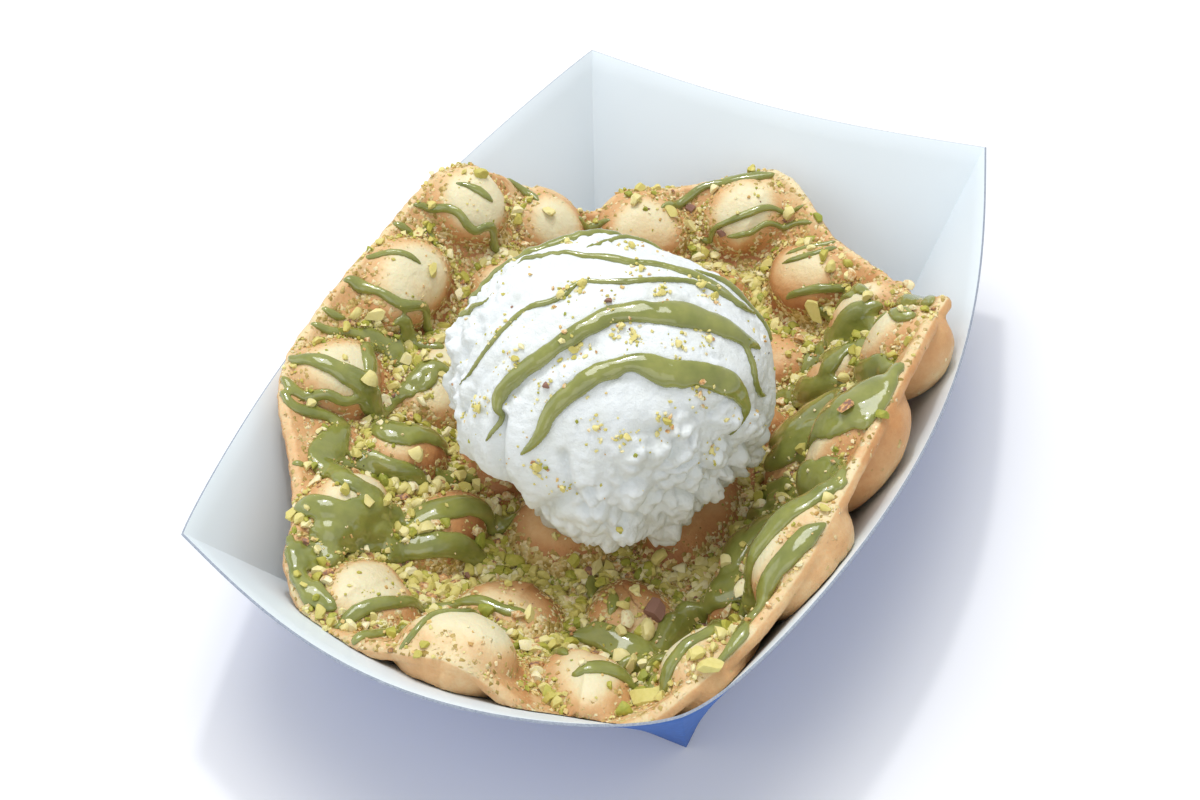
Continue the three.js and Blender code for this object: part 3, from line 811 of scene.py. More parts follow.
def curds(points, size, seed):
    """Rounded lumps that meet in sharp creases: from 0 in a crease to 1 on a lump."""
    shift = np.array((seed * 3.1, seed * 7.7, seed * 1.9))
    found = [noise.voronoi(Vector(p))[0] for p in (points / size + shift).tolist()]
    near, next_near = np.array([f[0] for f in found]), np.array([f[1] for f in found])
    return (1 - np.clip(near / 0.8, 0, 1) ** 2) * smoothstep(0.0, 0.3, next_near - near)


# Where the cream folded over itself: depth and half width of the groove, then azimuths and elevations on it.
FOLDS = (
    (3.0, 1.5, (-103, 0), (-106, 12), (-108, 22), (-110, 30)),
    (2.0, 1.1, (-83, 25), (-80, 13), (-76, 6), (-72, -3), (-68, -14)),
    (3.2, 1.8, (-92, -8), (-86, 2), (-79, 9)),
    (1.5, 1.0, (-74, 13), (-69, 4), (-62, -6), (-56, -15)),
    (1.1, 1.6, (-113, 33), (-104, 48), (-94, 56), (-78, 65)),
    (1.2, 1.4, (-150, 14), (-146, 30), (-148, 45), (-152, 58)),
    (1.0, 1.2, (-128, 18), (-126, 34), (-122, 48)),
    (1.2, 1.6, (-50, 34), (-38, 32), (-26, 34), (-14, 26)),
)
# Where the scoop is fuller or hollower than a ball: azimuth, elevation, reach in degrees, and height.
SWELLS = (
    (-98, -22, 16, -7.0), (-112, -8, 10, -4.0), (-141, 3, 9, -4.5), (-131, -8, 6, 2.5), (-43, -36, 13, 5.0),
    (-16, -22, 11, -3.0), (18, 2, 13, 3.0), (-164, 22, 9, 2.0), (-98, -34, 9, -3.0), (-3, -19, 8, -3.0),
    (-126, -16, 7, -2.0), (-31, -33, 7, 2.0), (-159, 13, 8, -2.0),
)
# The azimuth and elevation in which the cream was dragged, of the side that broke up, and of the side that
# was scraped smooth. The last, as a vector, is where it is pressed in.
DRAGGED = (-56, 22)
BROKEN = (-34, -8)
SCRAPED = (-64, 18)
PRESSED_IN = (0.86, -0.13, -0.49)
# Layers of curds on the broken side, in tears, and low down: height, size and seed.
BROKEN_CURDS = ((3.8, 9.0, 1), (1.3, 4.6, 2), (0.35, 2.3, 6))
TORN_CURDS = ((0.8, 5.5, 8), (0.25, 2.4, 9))
LOW_CURDS = ((1.2, 6.0, 3),)
SCOOP_GAP = 0.25            # how far the scoop keeps off the crust
SCOOP_SUNK = 2.0            # cream deeper inside the crust than this is out of sight, and stays there


def swelling(ball):
    """How far the scoop stands out at directions on it, in millimetres."""
    height = np.zeros(len(ball))
    for azimuth, elevation, reach, lift in SWELLS:
        away = np.degrees(np.arccos(np.clip(ball @ heading(azimuth, elevation), -1, 1)))
        height += lift * np.exp(-(away / reach) ** 2)
    return height


def fold_depth(ball):
    """How deep the folds cut at directions on the scoop, in millimetres."""
    depth = np.zeros(len(ball))
    for deep, half, *places in FOLDS:
        knots = heading(*np.array(places, dtype=float).T)
        line = unit(np.vstack([knots[:-1] + (knots[1:] - knots[:-1]) * t for t in np.arange(0, 1, 0.1)]))
        away = 40 * np.sqrt(np.clip(2 - 2 * (ball @ line.T).max(axis=1), 0, None))
        depth = np.maximum(depth, deep * np.exp(-(away / half) ** 2))
    return depth


def curd_layers(points, layers, sunk):
    """Layers of curds on each other, sunk so that their creases cut into the skin."""
    return sum(height * curds(points, size, seed) for height, size, seed in layers) - sunk


def cream_relief(ball, points):
    """How far the cream's skin stands off the smooth scoop, in millimetres."""
    axis = heading(*DRAGGED)
    dragged = 0.2 * points + 0.8 * (points @ axis)[:, None] * axis
    broken = smoothstep(0.60, 0.84, ball @ heading(*BROKEN))
    scraped = smoothstep(0.80, 0.92, ball @ heading(*SCRAPED))
    torn = smoothstep(0.0, 0.3, grain(points, 13, 12)) * (1 - broken) * (1 - scraped)
    lower = smoothstep(0.15, -0.35, ball[:, 2])
    # broad lumps, the marks of dragging, and a fine grain
    lift = 0.8 * grain(points, 19, 1)
    lift += (1 - 0.8 * broken) * (0.8 * grain(dragged, 6.0, 2) + 0.45 * grain(dragged, 2.4, 3))
    lift += 0.2 * grain(points, 1.6, 4) + 0.7 * grain(points, 6.5, 5) * smoothstep(0.5, 0.0, ball[:, 2])
    # curds
    lift += broken * curd_layers(points, BROKEN_CURDS, 2.6)
    lift += torn * curd_layers(points, TORN_CURDS, 0.5)
    lift += lower * curd_layers(points, LOW_CURDS, 0.6)
    # a shelf that overhangs on the left, and ragged cream there
    shelf = smoothstep(0.22, 0.36, -ball[:, 0]) * smoothstep(0.5, 0.1, ball[:, 1])
    above, below = smoothstep(-0.1, 0.1, ball[:, 2]), smoothstep(-0.02, -0.12, ball[:, 2])
    lift += 1.6 * shelf * above - 6.5 * shelf * below
    lift += smoothstep(0.45, 0.75, -ball[:, 0]) * (1.5 * grain(points, 3.0, 9) + 1.0 * grain(points, 1.5, 10))
    lift -= 5.5 * smoothstep(0.35, 0.9, ball @ unit(np.array(PRESSED_IN)))
    return lift + (swelling(ball) - fold_depth(ball))


def rest_on(crust, ball, points):
    """Moves the low points that touch the crust to just off it."""
    for i in np.nonzero(ball[:, 2] < 0.1)[0]:
        point = Vector(points[i])
        spot, normal, _, _ = crust.find_nearest(point)
        if -SCOOP_SUNK < (point - spot).dot(normal) < SCOOP_GAP:
            points[i] = spot + normal * SCOOP_GAP


def make_scoop():
    """Rounds a ball to the scoop's size, drags, folds and crumbles its skin, and rests it on the bubbles."""
    deselect()
    bpy.ops.mesh.primitive_ico_sphere_add(subdivisions=7, radius=1)
    scoop = bpy.context.object
    scoop.name = scoop.data.name = "scoop_of_cream"
    ball = unit(coordinates(scoop) * MM)
    points = ball * SCOOP_REACH * scoop_share(ball)[:, None]
    lift = cream_relief(ball, points) * bpy.context.scene.waffle_cream.roughness_depth / MM
    points = SCOOP_CENTRE + points + ball * lift[:, None]
    low, high = box_of("cream_scoop")
    points = np.clip(points, (low[0], low[1], -99), high)
    rest_on(tree_of(bpy.data.objects["bubble_waffle_sheet"]), ball, points)
    set_coordinates(scoop, np.clip(points, low, high))
    finish_piece(scoop, "cream", [whipped_cream()], "cream_scoop")
    activate(scoop)
    bpy.ops.object.shade_smooth()


# --- sauce ---

# Strands of sauce over the scoop: azimuth and elevation from the scoop's middle, and width there.
SCOOP_STRANDS = (
    ((-168, 20, 1.8), (-166, 33, 2.2), (-165, 43, 0.7), (178, 48, 0.6), (172, 52, 1.6), (166, 63, 1.6),
     (141, 75, 2.0), (94, 77, 2.7), (62, 69, 2.3), (46, 58, 3.2), (38, 47, 2.1), (32, 41, 2.0),
     (38, 27, 1.2)),
    ((56, 56, 1.0), (49, 43, 1.9), (43, 31, 2.0), (40, 21, 1.9), (36, 14, 2.8)),
    ((-138, 20, 0.5), (-134, 35, 1.4), (-138, 49, 1.5), (-138, 61, 1.7), (-137, 72, 2.1), (-155, 80, 1.2),
     (-142, 87, 1.6), (20, 84, 1.9), (35, 70, 1.6), (35, 55, 1.7), (32, 42, 2.0)),
    ((-112, 16, 1.0), (-112, 26, 1.8), (-115, 33, 4.0), (-113, 42, 4.2), (-103, 56, 4.5), (-86, 69, 4.7),
     (-60, 75, 5.0), (-30, 73, 6.0), (-10, 67, 6.8), (3, 58, 7.0), (10, 47, 5.6), (13, 38, 3.6),
     (18, 28, 1.3)),
    ((11, 40, 1.2), (8, 33, 2.0), (5, 26, 1.9), (6, 18, 2.1), (12, 11, 1.4)),
    ((-99, 18, 0.7), (-94, 26, 2.7), (-91, 36, 4.0), (-86, 44, 4.9), (-72, 53, 5.2), (-55, 56, 4.7),
     (-42, 53, 6.6), (-32, 48, 7.3), (-22, 45, 6.2), (-14, 38, 7.0), (-8, 29, 5.4), (-9, 20, 3.0),
     (-13, 10, 1.1)),
    ((140, 66, 0.8), (122, 62, 1.3), (108, 53, 1.6), (96, 47, 1.3), (84, 44, 0.8)),
    ((-175, 8, 0.8), (178, 20, 2.4), (168, 32, 3.2), (152, 42, 3.6), (132, 44, 3.8), (114, 38, 3.0),
     (102, 28, 2.2), (96, 16, 1.0)),
    ((160, 12, 0.8), (150, 20, 1.8), (136, 24, 2.2), (120, 20, 1.8), (110, 10, 0.8)),
)
# Strands over the waffle, seen from above: x, y and width there.
POURED_STRANDS = (
    # the left side of the cup, from the back to the front
    ((-60, 42, 1.5), (-53, 44, 2.0), (-48, 42, 1.5)),
    ((-65, 23, 1.0), (-61, 24, 1.5), (-58, 25, 2.0), (-54, 26, 1.5)),
    ((-74, 14, 1.5), (-70, 17, 2.0), (-62, 18, 2.0), (-57, 18, 2.0), (-53, 22, 2.0), (-51, 27, 1.5)),
    ((-77, 5, 1.5), (-73, 7, 2.0), (-70, 9, 1.0)),
    ((-70, 14, 2.0), (-68, 12, 3.0), (-64, 12, 2.0)),
    ((-76, -8, 1.5), (-69, -4, 1.5), (-65, -2, 1.5), (-61, -1, 1.0)),
    ((-77, -18, 2.0), (-74, -16, 3.0), (-69, -15, 2.0), (-63, -14, 2.5), (-60, -11, 2.5), (-57, -5, 1.5)),
    ((-78, -29, 1.5), (-74, -28, 2.0), (-71, -25, 1.5)),
    ((-79, -35, 2.0), (-73, -33, 2.0), (-69, -28, 2.5), (-66, -24, 4.5), (-61, -21, 6.0), (-55, -23, 2.5)),
    ((-63, -18, 2.0), (-60, -14, 3.5), (-55, -13, 3.5), (-50, -12, 2.5)),
    ((-55, -32, 2.0), (-52, -27, 3.0), (-51, -22, 3.5), (-48, -20, 3.5), (-44, -19, 2.5)),
    ((-50, -30, 2.5), (-48, -26, 3.5), (-50, -19, 2.5)),
    ((-64, -23, 2.5), (-60, -23, 4.0), (-54, -23, 2.5)),
    ((-79, -44, 2.0), (-74, -47, 2.5), (-68, -46, 3.0), (-62, -45, 4.0), (-55, -42, 6.0), (-53, -38, 2.0)),
    ((-65, -23, 2.0), (-63, -29, 3.0), (-58, -36, 4.5), (-56, -41, 4.5)),
    ((-78, -49, 2.0), (-72, -53, 2.5), (-67, -54, 2.5), (-62, -51, 2.5), (-58, -49, 2.5), (-55, -45, 1.5)),
    ((-77, -53, 2.0), (-70, -57, 2.0), (-65, -58, 2.5), (-60, -53, 3.0), (-57, -50, 4.5)),
    ((-57, -50, 4.0), (-56, -56, 6.5), (-55, -63, 7.5), (-53, -67, 7.0), (-48, -69, 5.5), (-41, -72, 4.0),
     (-35, -68, 2.0)),
    ((-66, -70, 2.0), (-62, -72, 2.0), (-58, -73, 2.0), (-54, -71, 2.5)),
    ((-52, -65, 1.5), (-48, -60, 2.5), (-44, -58, 2.5), (-39, -56, 1.5)),
    ((-52, -59, 3.0), (-47, -57, 4.5), (-41, -56, 4.5), (-38, -54, 4.0), (-35, -51, 3.0)),
    ((-54, -43, 5.5), (-48, -47, 8.5), (-43, -46, 9.0), (-39, -41, 7.0), (-37, -36, 4.0)),
    ((-53, -41, 2.0), (-54, -35, 3.0), (-53, -30, 4.0), (-49, -32, 3.0)),
    ((-41, -54, 2.5), (-37, -53, 3.5), (-33, -50, 2.5)),
    ((-34, -47, 2.5), (-31, -44, 3.5), (-26, -39, 2.0)),
    # the two broad ribbons at the left front corner, and what joins and leaves them
    ((-58, -84, 5.0), (-50, -83, 6.0), (-43, -82, 5.5), (-37, -79, 6.5), (-33, -70, 7.5), (-26, -61, 6.5),
     (-18, -51, 5.0), (-12, -44, 2.5)),
    ((-45, -99, 9.0), (-40, -92, 12.0), (-37, -85, 12.0), (-34, -78, 10.5), (-28, -73, 7.5),
     (-22, -70, 6.0), (-16, -63, 5.0), (-13, -56, 3.0)),
    ((-38, -83, 5.0), (-34, -77, 7.5), (-33, -69, 6.0)),
    ((-38, -95, 7.0), (-44, -98, 9.0), (-48, -98, 7.0), (-51, -96, 4.0)),
    ((-50, -86, 5.0), (-46, -92, 8.0), (-44, -98, 7.0)),
    ((-41, -97, 8.0), (-37, -101, 7.0), (-31, -103, 5.0), (-25, -104, 3.0)),
    # the front
    ((-24, -108, 2.0), (-20, -99, 3.0), (-16, -92, 2.5), (-13, -83, 2.5), (-4, -79, 2.5), (3, -79, 2.5),
     (9, -76, 2.0)),
    ((-17, -111, 3.0), (-15, -106, 3.0), (-12, -102, 2.5), (-7, -103, 2.0)),
    ((-5, -111, 1.5), (-3, -106, 1.5), (-2, -99, 1.5), (3, -94, 1.5), (2, -86, 2.0), (6, -84, 2.0),
     (10, -86, 1.5)),
    ((16, -74, 3.0), (23, -72, 6.0), (29, -73, 8.5), (35, -74, 10.0), (40, -78, 12.0), (45, -84, 9.0),
     (48, -90, 4.0)),
    ((38, -74, 9.0), (40, -65, 8.0), (40, -58, 7.0), (42, -51, 6.5), (47, -49, 9.0), (52, -47, 9.0),
     (48, -43, 5.0)),
    ((28, -94, 2.0), (32, -90, 3.0), (37, -87, 3.5), (45, -86, 3.0)),
    ((22, -58, 1.5), (24, -63, 2.5), (25, -67, 2.0)),
    ((12, -51, 2.0), (14, -55, 2.5), (17, -61, 2.0)),
    ((13, -81, 2.0), (17, -82, 2.5), (25, -88, 2.0)),
    # the right side
    ((33, 51, 1.8), (38, 52, 2.4), (46, 45, 2.0)),
    ((24, 53, 1.4), (30, 53, 2.2), (38, 56, 2.0), (42, 58, 1.8)),
    ((40, 58, 1.8), (46, 49, 2.4), (51, 45, 2.0)),
    ((61, 22, 3.0), (66, 19, 4.5), (69, 20, 3.0)),
    ((60, 11, 3.0), (64, 9, 4.5), (68, 6, 4.0)),
    ((55, 44, 3.5), (50, 42, 6.0), (46, 40, 8.0), (45, 34, 8.0), (47, 27, 7.0), (45, 22, 4.5)),
    ((69, -31, 6.0), (66, -35, 8.0), (62, -40, 8.5), (58, -46, 8.0), (56, -51, 6.0), (54, -56, 4.0)),
    # the back
    ((-40, 48, 2.0), (-36, 53, 2.0), (-31, 54, 1.0)),
    ((-20, 62, 1.5), (-17, 69, 2.0), (-11, 76, 2.0), (-4, 80, 2.5), (3, 84, 2.5), (8, 86, 1.5)),
    ((-10, 66, 1.5), (-1, 66, 1.5), (4, 69, 2.0), (11, 75, 1.5), (20, 79, 1.0)),
    ((0, 65, 1.0), (5, 66, 1.5), (10, 71, 1.5), (18, 75, 1.5), (25, 74, 1.0)),
    ((19, 60, 1.0), (25, 61, 1.5), (30, 63, 1.5), (34, 68, 1.5)),
    ((19, 63, 1.0), (25, 65, 1.5), (34, 70, 1.5)),
)
# Strands that cling to the steep right side: x, y, z and width there.
CLINGING_STRANDS = (
    ((45, -47, 24, 5.0), (46, -40, 26, 8.0), (45, -32, 24, 9.0), (44, -22, 17, 9.0), (48, -16, 21, 10.0),
     (54, -18, 30, 11.0), (60, -25, 44, 11.0), (66, -31, 53, 10.0), (71, -36, 59, 7.0)),
    ((72, 0, 63, 8.0), (68, -6, 63, 12.0), (65, -12, 63, 13.0), (61, -15, 60, 13.0), (56, -11, 48, 13.0),
     (51, -5, 36, 12.0), (46, -7, 30, 10.0), (42, -8, 22, 6.0)),
    ((67, 8, 58, 6.0), (61, 9, 49, 10.0), (55, 12, 38, 12.0), (50, 6, 36, 12.0), (45, 0, 32, 11.0),
     (41, 2, 20, 8.0)),
    ((31, 25, 14, 5.0), (36, 26, 17, 8.0), (42, 22, 24, 8.0), (48, 21, 29, 6.0), (54, 22, 32, 5.0)),
    ((37, 32, 18, 4.0), (39, 38, 20, 7.0), (42, 41, 24, 9.0), (46, 39, 30, 9.0), (51, 38, 36, 8.0),
     (56, 30, 46, 6.0), (61, 23, 59, 5.0)),
    ((48, 39, 31, 5.0), (50, 31, 35, 4.5), (49, 25, 34, 4.0)),
    ((57, 46, 43, 3.0), (63, 42, 48, 6.0), (67, 37, 53, 6.0), (71, 29, 61, 5.0)),
    ((60, -84, 42, 4.0), (61, -76, 46, 4.0), (60, -68, 42, 4.0), (61, -63, 46, 4.0), (64, -56, 54, 4.0),
     (67, -50, 56, 4.5), (71, -45, 57, 4.0)),
    ((70, -31, 58, 6.0), (65, -28, 52, 9.0), (58, -26, 42, 9.5), (51, -19, 26, 8.5), (48, -20, 20, 8.0),
     (50, -29, 28, 7.5), (49, -35, 28, 6.0), (46, -39, 26, 4.0)),
    ((48, -90, 35, 3.0), (49, -84, 40, 3.0), (51, -78, 42, 3.0), (54, -72, 40, 3.0), (52, -62, 28, 3.0),
     (51, -54, 23, 3.5)),
)
DROP_HEIGHT = 130.0         # things fall from here
STRAND_STEP = 0.9           # between the rings of a strand
RING_CORNERS = 16
RING_OUTS = np.cos(np.arange(RING_CORNERS) * math.tau / RING_CORNERS)
RING_UPS = np.sin(np.arange(RING_CORNERS) * math.tau / RING_CORNERS)
BEAD_FULLNESS = 0.8         # 1 is half an ellipse, and less is fuller
STRAND_ROOT = 0.9           # how deep a strand reaches into what it lies on
STRAND_REACH = 2.5          # past this and STRAND_FILL from the surface, a strand's edge hangs free
STRAND_FILL = 5.0           # how deep a hollow a strand fills as it crosses
BRIDGE_SHARE = 1.1          # half the length of a hollow that a strand bridges, as a share of its width
END_LENGTH = 1.5            # a strand thins out over its width and this
FULL_HEIGHT_WIDTH = 6.0     # a strand of about this width or more is as high as can be
THREAD = 1.2                # a strand thinner than this is lower still
BROAD = 4.0
MELT_LOSS = 0.8             # what melting takes off each edge of a broad strand


def smooth_line(knots, step):
    """A smooth line through rows of a place and a width, with a row about every step millimetres."""
    knots = np.array(knots, dtype=float)
    knots = np.vstack([2 * knots[0] - knots[1], knots, 2 * knots[-1] - knots[-2]])
    line = []
    for a, b, c, d in zip(knots, knots[1:], knots[2:], knots[3:]):
        count = max(2, int(np.linalg.norm((c - b)[:-1]) / step))
        t = (np.arange(count) / count)[:, None]
        line.append(0.5 * (2 * b + (c - a) * t + (2 * a - 5 * b + 4 * c - d) * t ** 2
                           + (3 * b - a - 3 * c + d) * t ** 3))
    return np.vstack([*line, knots[-2:-1]])


def drop(tree, x, y):
    """Where something that falls at (x, y) lands, and the normal there."""
    spot, normal, _, _ = tree.ray_cast(Vector((x, y, DROP_HEIGHT)), Vector((0, 0, -1)))
    return spot, normal


def averaged(rows, reach=2):
    """Each row averaged with its neighbours, ends kept."""
    padded = np.concatenate([rows[:1]] * reach + [rows] + [rows[-1:]] * reach)
    return sum(padded[i:i + len(rows)] for i in range(2 * reach + 1)) / (2 * reach + 1)


def poured_on_scoop(tree, knots, seed):
    """Where a strand over the scoop lies, and its width there."""
    line = smooth_line([(*(40 * heading(*towards)), width) for *towards, width in knots], 0.5)
    sway = np.stack([grain(line[:, :3], 7, seed + k) for k in range(3)], axis=-1)
    rays = unit(line[:, :3] + 0.7 * sway)
    landed = []
    for ray, width in zip(rays, line[:, 3]):
        spot = tree.ray_cast(Vector(SCOOP_CENTRE + 90 * ray), Vector(-ray))[0]
        if spot is not None:
            landed.append((*spot, width))
    return np.array(landed)


def poured_on_crust(tree, knots, seed):
    """Where a strand over the waffle lies, and its width there."""
    line = smooth_line([(x, y, 0, width) for x, y, width in knots], 0.3)
    flat = line[:, :3]
    sway = 0.6 * np.stack([grain(flat, 8, seed), grain(flat, 8, seed + 0.5)], axis=-1)
    landed = []
    for (x, y), width in zip(line[:, :2] + sway, line[:, 3]):
        spot = drop(tree, x, y)[0]
        if spot is not None:
            landed.append((*spot, width))
    return np.array(landed)


def bridged(spots, widths):
    """A strand's middle line, carried over the hollows that are shorter than the strand is wide."""
    bridge = spots[:, 2].copy()
    for i, width in enumerate(widths):
        for reach in range(1, 1 + int(BRIDGE_SHARE * width / STRAND_STEP)):
            if 0 <= i - reach and i + reach < len(spots):
                bridge[i] = max(bridge[i], (spots[i - reach, 2] + spots[i + reach, 2]) / 2)
    lifted = spots.copy()
    lifted[:, 2] += averaged(np.clip(bridge - spots[:, 2], 0, STRAND_FILL), 2)
    return lifted


def clung_to_crust(tree, knots):
    """Where a strand that clings to a steep side lies, and its width there."""
    line = smooth_line(knots, 0.3)
    return np.array([(*tree.find_nearest(Vector(place))[0], width) for *place, width in line])


def strand_shape(spots, widths, left, seed, height, melt_loss):
    """Half widths of a strand to both sides, and its heights. left is the way to the strand's nearer end."""
    taper = np.sqrt(np.clip(left / (widths + END_LENGTH), 0.05, 1))
    size = widths * taper * (1 + 0.1 * grain(spots, 5, seed + 1))
    spare = melt_loss * np.minimum(1, size / BROAD)
    halves = [0.5 * size * (1 + 0.2 * grain(spots, 4, seed + 2 + k)) + spare for k in range(2)]
    rises = height * np.minimum(1.0, 0.25 + size / FULL_HEIGHT_WIDTH) * (1 + 0.25 * grain(spots, 5, seed + 4))
    return halves, rises * np.minimum(1, size / THREAD)


def strand_ring(tree, spot, normal, side, rise, right_half, left_half):
    """Corners of one ring of a strand: a rounded bead that hugs the surface and fills what it crosses."""
    feet, facings = [], []
    for out in RING_OUTS:
        foot = spot + side * (out * (right_half if out > 0 else left_half))
        near, facing, _, away = tree.find_nearest(Vector(foot))
        if away > STRAND_REACH + STRAND_FILL:
            near, facing = Vector(foot), Vector(normal)
        feet.append(np.array(near))
        facings.append(unit(np.array(facing) + normal))
    right, left = feet[0], feet[RING_CORNERS // 2]
    corners = []
    for out, up, foot, facing in zip(RING_OUTS, RING_UPS, feet, facings):
        if up > 0:
            span = left + (right - left) * (out + 1) / 2
            filled = min(max((span - foot) @ facing, (spot - foot) @ facing * up, 0.0), STRAND_FILL)
            corners.append(foot + facing * (filled + rise * up ** BEAD_FULLNESS))
        else:
            corners.append(foot + facing * (STRAND_ROOT * up))
    return corners


def lay_strand(tree, landed, seed, height, melt_loss):
    """Corners and faces of one strand along the places it landed on."""
    way = np.concatenate([[0], np.cumsum(np.linalg.norm(np.diff(landed[:, :3], axis=0), axis=1))])
    marks = np.arange(0, way[-1], STRAND_STEP)
    rows = np.stack([np.interp(marks, way, landed[:, k]) for k in range(4)], axis=-1)
    spots = bridged(averaged(rows[:, :3], 1), rows[:, 3])
    normals = unit(averaged(np.array([tree.find_nearest(Vector(spot))[1] for spot in spots]), 2))
    sides = unit(np.cross(normals, unit(np.gradient(spots, axis=0))))
    left = np.minimum(marks, marks[-1] - marks)
    halves, rises = strand_shape(spots, rows[:, 3], left, seed, height, melt_loss)
    points = []
    for ring in zip(spots, normals, sides, rises, *halves):
        points.extend(strand_ring(tree, *ring))
    starts = range(0, len(points), RING_CORNERS)
    faces = [
        (a + k, a + (k + 1) % RING_CORNERS, b + (k + 1) % RING_CORNERS, b + k)
        for a, b in zip(starts, starts[1:])
        for k in range(RING_CORNERS)
    ]
    faces.append(tuple(range(RING_CORNERS))[::-1])
    faces.append(tuple(starts[-1] + k for k in range(RING_CORNERS)))
    return points, faces


def melt_together(name, parts):
    """Makes one skin of strands that run through each other."""
    settings = bpy.context.scene.waffle_sauce
    points, faces = [], []
    for more, sides in parts:
        faces.extend(tuple(len(points) + corner for corner in side) for side in sides)
        points.extend(more)
    sauce = mesh_piece(name, points, faces)
    apply_modifier(sauce, "REMESH", mode="VOXEL", voxel_size=settings.voxel, adaptivity=0.0)
    apply_modifier(sauce, "SMOOTH", factor=0.5, iterations=4)
    finish_piece(sauce, "sauce", [nut_sauce()])
    activate(sauce)
    bpy.ops.object.shade_smooth()


def make_sauce():
    """Pours the strands over the scoop and over the waffle."""
    height = bpy.context.scene.waffle_sauce.height / MM
    scoop = tree_of(bpy.data.objects["scoop_of_cream"])
    crust = tree_of(bpy.data.objects["bubble_waffle_sheet"])
    melt_together("sauce_on_scoop", [
        lay_strand(scoop, poured_on_scoop(scoop, knots, 100 + 7 * i), 100 + 7 * i, height, 0)
        for i, knots in enumerate(SCOOP_STRANDS)
    ])
    laid = [poured_on_crust(crust, knots, 300 + 7 * i) for i, knots in enumerate(POURED_STRANDS)]
    laid += [clung_to_crust(crust, knots) for knots in CLINGING_STRANDS]
    melt_together("sauce_on_waffle", [
        lay_strand(crust, landed, 300 + 7 * i, height, MELT_LOSS) for i, landed in enumerate(laid)
    ])


# --- nuts and crumbs ---

def broken_kernels(count, seed, detail, cuts):
    """Pieces of kernel as unit shapes: a ball, or a cube for the finest, made rough, cut flat on a few sides
    and squeezed."""
    rng = random.Random(seed)
    shapes = []
    for number in range(count):
        deselect()
        if detail:
            bpy.ops.mesh.primitive_ico_sphere_add(subdivisions=detail, radius=1)
        else:
            bpy.ops.mesh.primitive_cube_add(size=1.3)
        chunk = bpy.context.object
        bpy.ops.object.mode_set(mode="EDIT")
        bpy.ops.mesh.select_all(action="SELECT")
        bpy.ops.transform.vertex_random(offset=0.34 / max(detail, 1), uniform=1.0, normal=0.0,
                                        seed=seed * 100 + number)
        bpy.ops.mesh.convex_hull()
        for _ in range(cuts):
            facing = Vector((rng.gauss(0, 1), rng.gauss(0, 1), rng.gauss(0, 1))).normalized()
            bpy.ops.mesh.select_all(action="SELECT")
            bpy.ops.mesh.bisect(plane_co=facing * rng.uniform(0.25, 0.7), plane_no=facing,
                                use_fill=True, clear_outer=True)
        bpy.ops.mesh.select_all(action="SELECT")
        bpy.ops.transform.resize(value=(1.0, rng.uniform(0.6, 0.9), rng.uniform(0.45, 0.75)))
        bpy.ops.mesh.remove_doubles(threshold=0.05)
        bpy.ops.mesh.select_all(action="SELECT")
        bpy.ops.mesh.convex_hull()
        bpy.ops.mesh.dissolve_limited(angle_limit=math.radians(9))
        bpy.ops.object.mode_set(mode="OBJECT")
        shapes.append((coordinates(chunk) * MM, [tuple(polygon.vertices) for polygon in chunk.data.polygons]))
        bpy.data.objects.remove(chunk)
    return shapes


# Where nuts fell thickest, seen from above: place (x, y), reach and how much more falls there.
NUT_SHOWERS = (
    (4, -56, 18, 3.0), (63, 14, 7, 1.6), (48, 26, 8, 1.2), (34, 55, 8, 1.0), (-15, -62, 12, 2.0),
    (14, -84, 9, 2.2), (-15, -85, 20, 1.5), (-28, -88, 12, 1.2), (30, -52, 14, 2.2), (36, -66, 10, 1.8),
    (48, -74, 12, 1.4), (44, -38, 10, 1.8), (42, -14, 10, 1.8), (60, -14, 7, 1.6), (62, 22, 9, 2.0),
    (50, 34, 14, 1.6), (34, 48, 12, 1.8), (10, 60, 14, 1.8), (-14, 62, 12, 1.6), (-58, 28, 8, 2.4),
    (-68, 12, 7, 1.8), (-66, -22, 7, 2.2), (-56, -2, 9, 1.8), (-46, -20, 10, 1.8), (-46, -40, 12, 1.6),
    (-40, -58, 12, 1.5),
)
# The large pieces on the waffle, seen from above: x, y, length, and a tint from 0 (green) over cream to 1.15
# (dark skin).
NUT_PLACES = (
    (46, -90, 10.5, 0.40), (58, -84, 6.0, 0.50), (33, -61, 8.5, 1.15), (34, -67, 6.0, 0.68),
    (29, -67, 5.5, 0.88), (16, -49, 6.5, 0.40), (12, -50, 5.5, 0.70), (7, -52, 5.0, 0.16),
    (56, -70, 5.0, 0.10), (51, -54, 4.5, 0.90), (53, -50, 6.0, 0.85), (45, -43, 5.0, 0.72),
    (32, -76, 5.0, 0.70), (37, -79, 4.8, 0.66), (36, -37, 5.0, 0.66), (27, -41, 5.0, 0.50),
    (25, -44, 4.8, 0.08), (-7, -57, 5.5, 0.14), (9, -77, 4.8, 0.62), (12, -86, 5.0, 0.84),
    (-70, 9, 5.5, 0.66), (-68, 13, 4.0, 0.12), (-60, 0, 5.0, 0.44), (-71, -23, 4.4, 0.56),
    (-67, -19, 6.0, 0.64), (-68, -24, 4.2, 0.70), (-57, -3, 4.5, 0.24), (-55, -42, 5.5, 0.62),
    (-47, -31, 4.8, 0.86), (-41, -32, 4.5, 0.84), (-60, -17, 4.2, 0.52), (-35, -74, 4.8, 0.60),
    (-34, -70, 4.0, 0.46), (-38, -50, 5.0, 0.66), (16, 77, 5.0, 0.66), (-12, 65, 5.0, 0.68),
    (-17, 63, 4.4, 0.42), (-13, 70, 4.0, 1.15), (-1, 65, 4.0, 1.15), (10, 63, 4.4, 0.60),
    (13, 67, 4.4, 0.52), (28, 51, 4.4, 0.10), (34, 51, 8.0, 0.48), (50, 44, 4.4, 0.60),
    (42, -23, 7.5, 0.46), (39, -11, 5.0, 0.60), (40, -2, 4.5, 0.52),
)
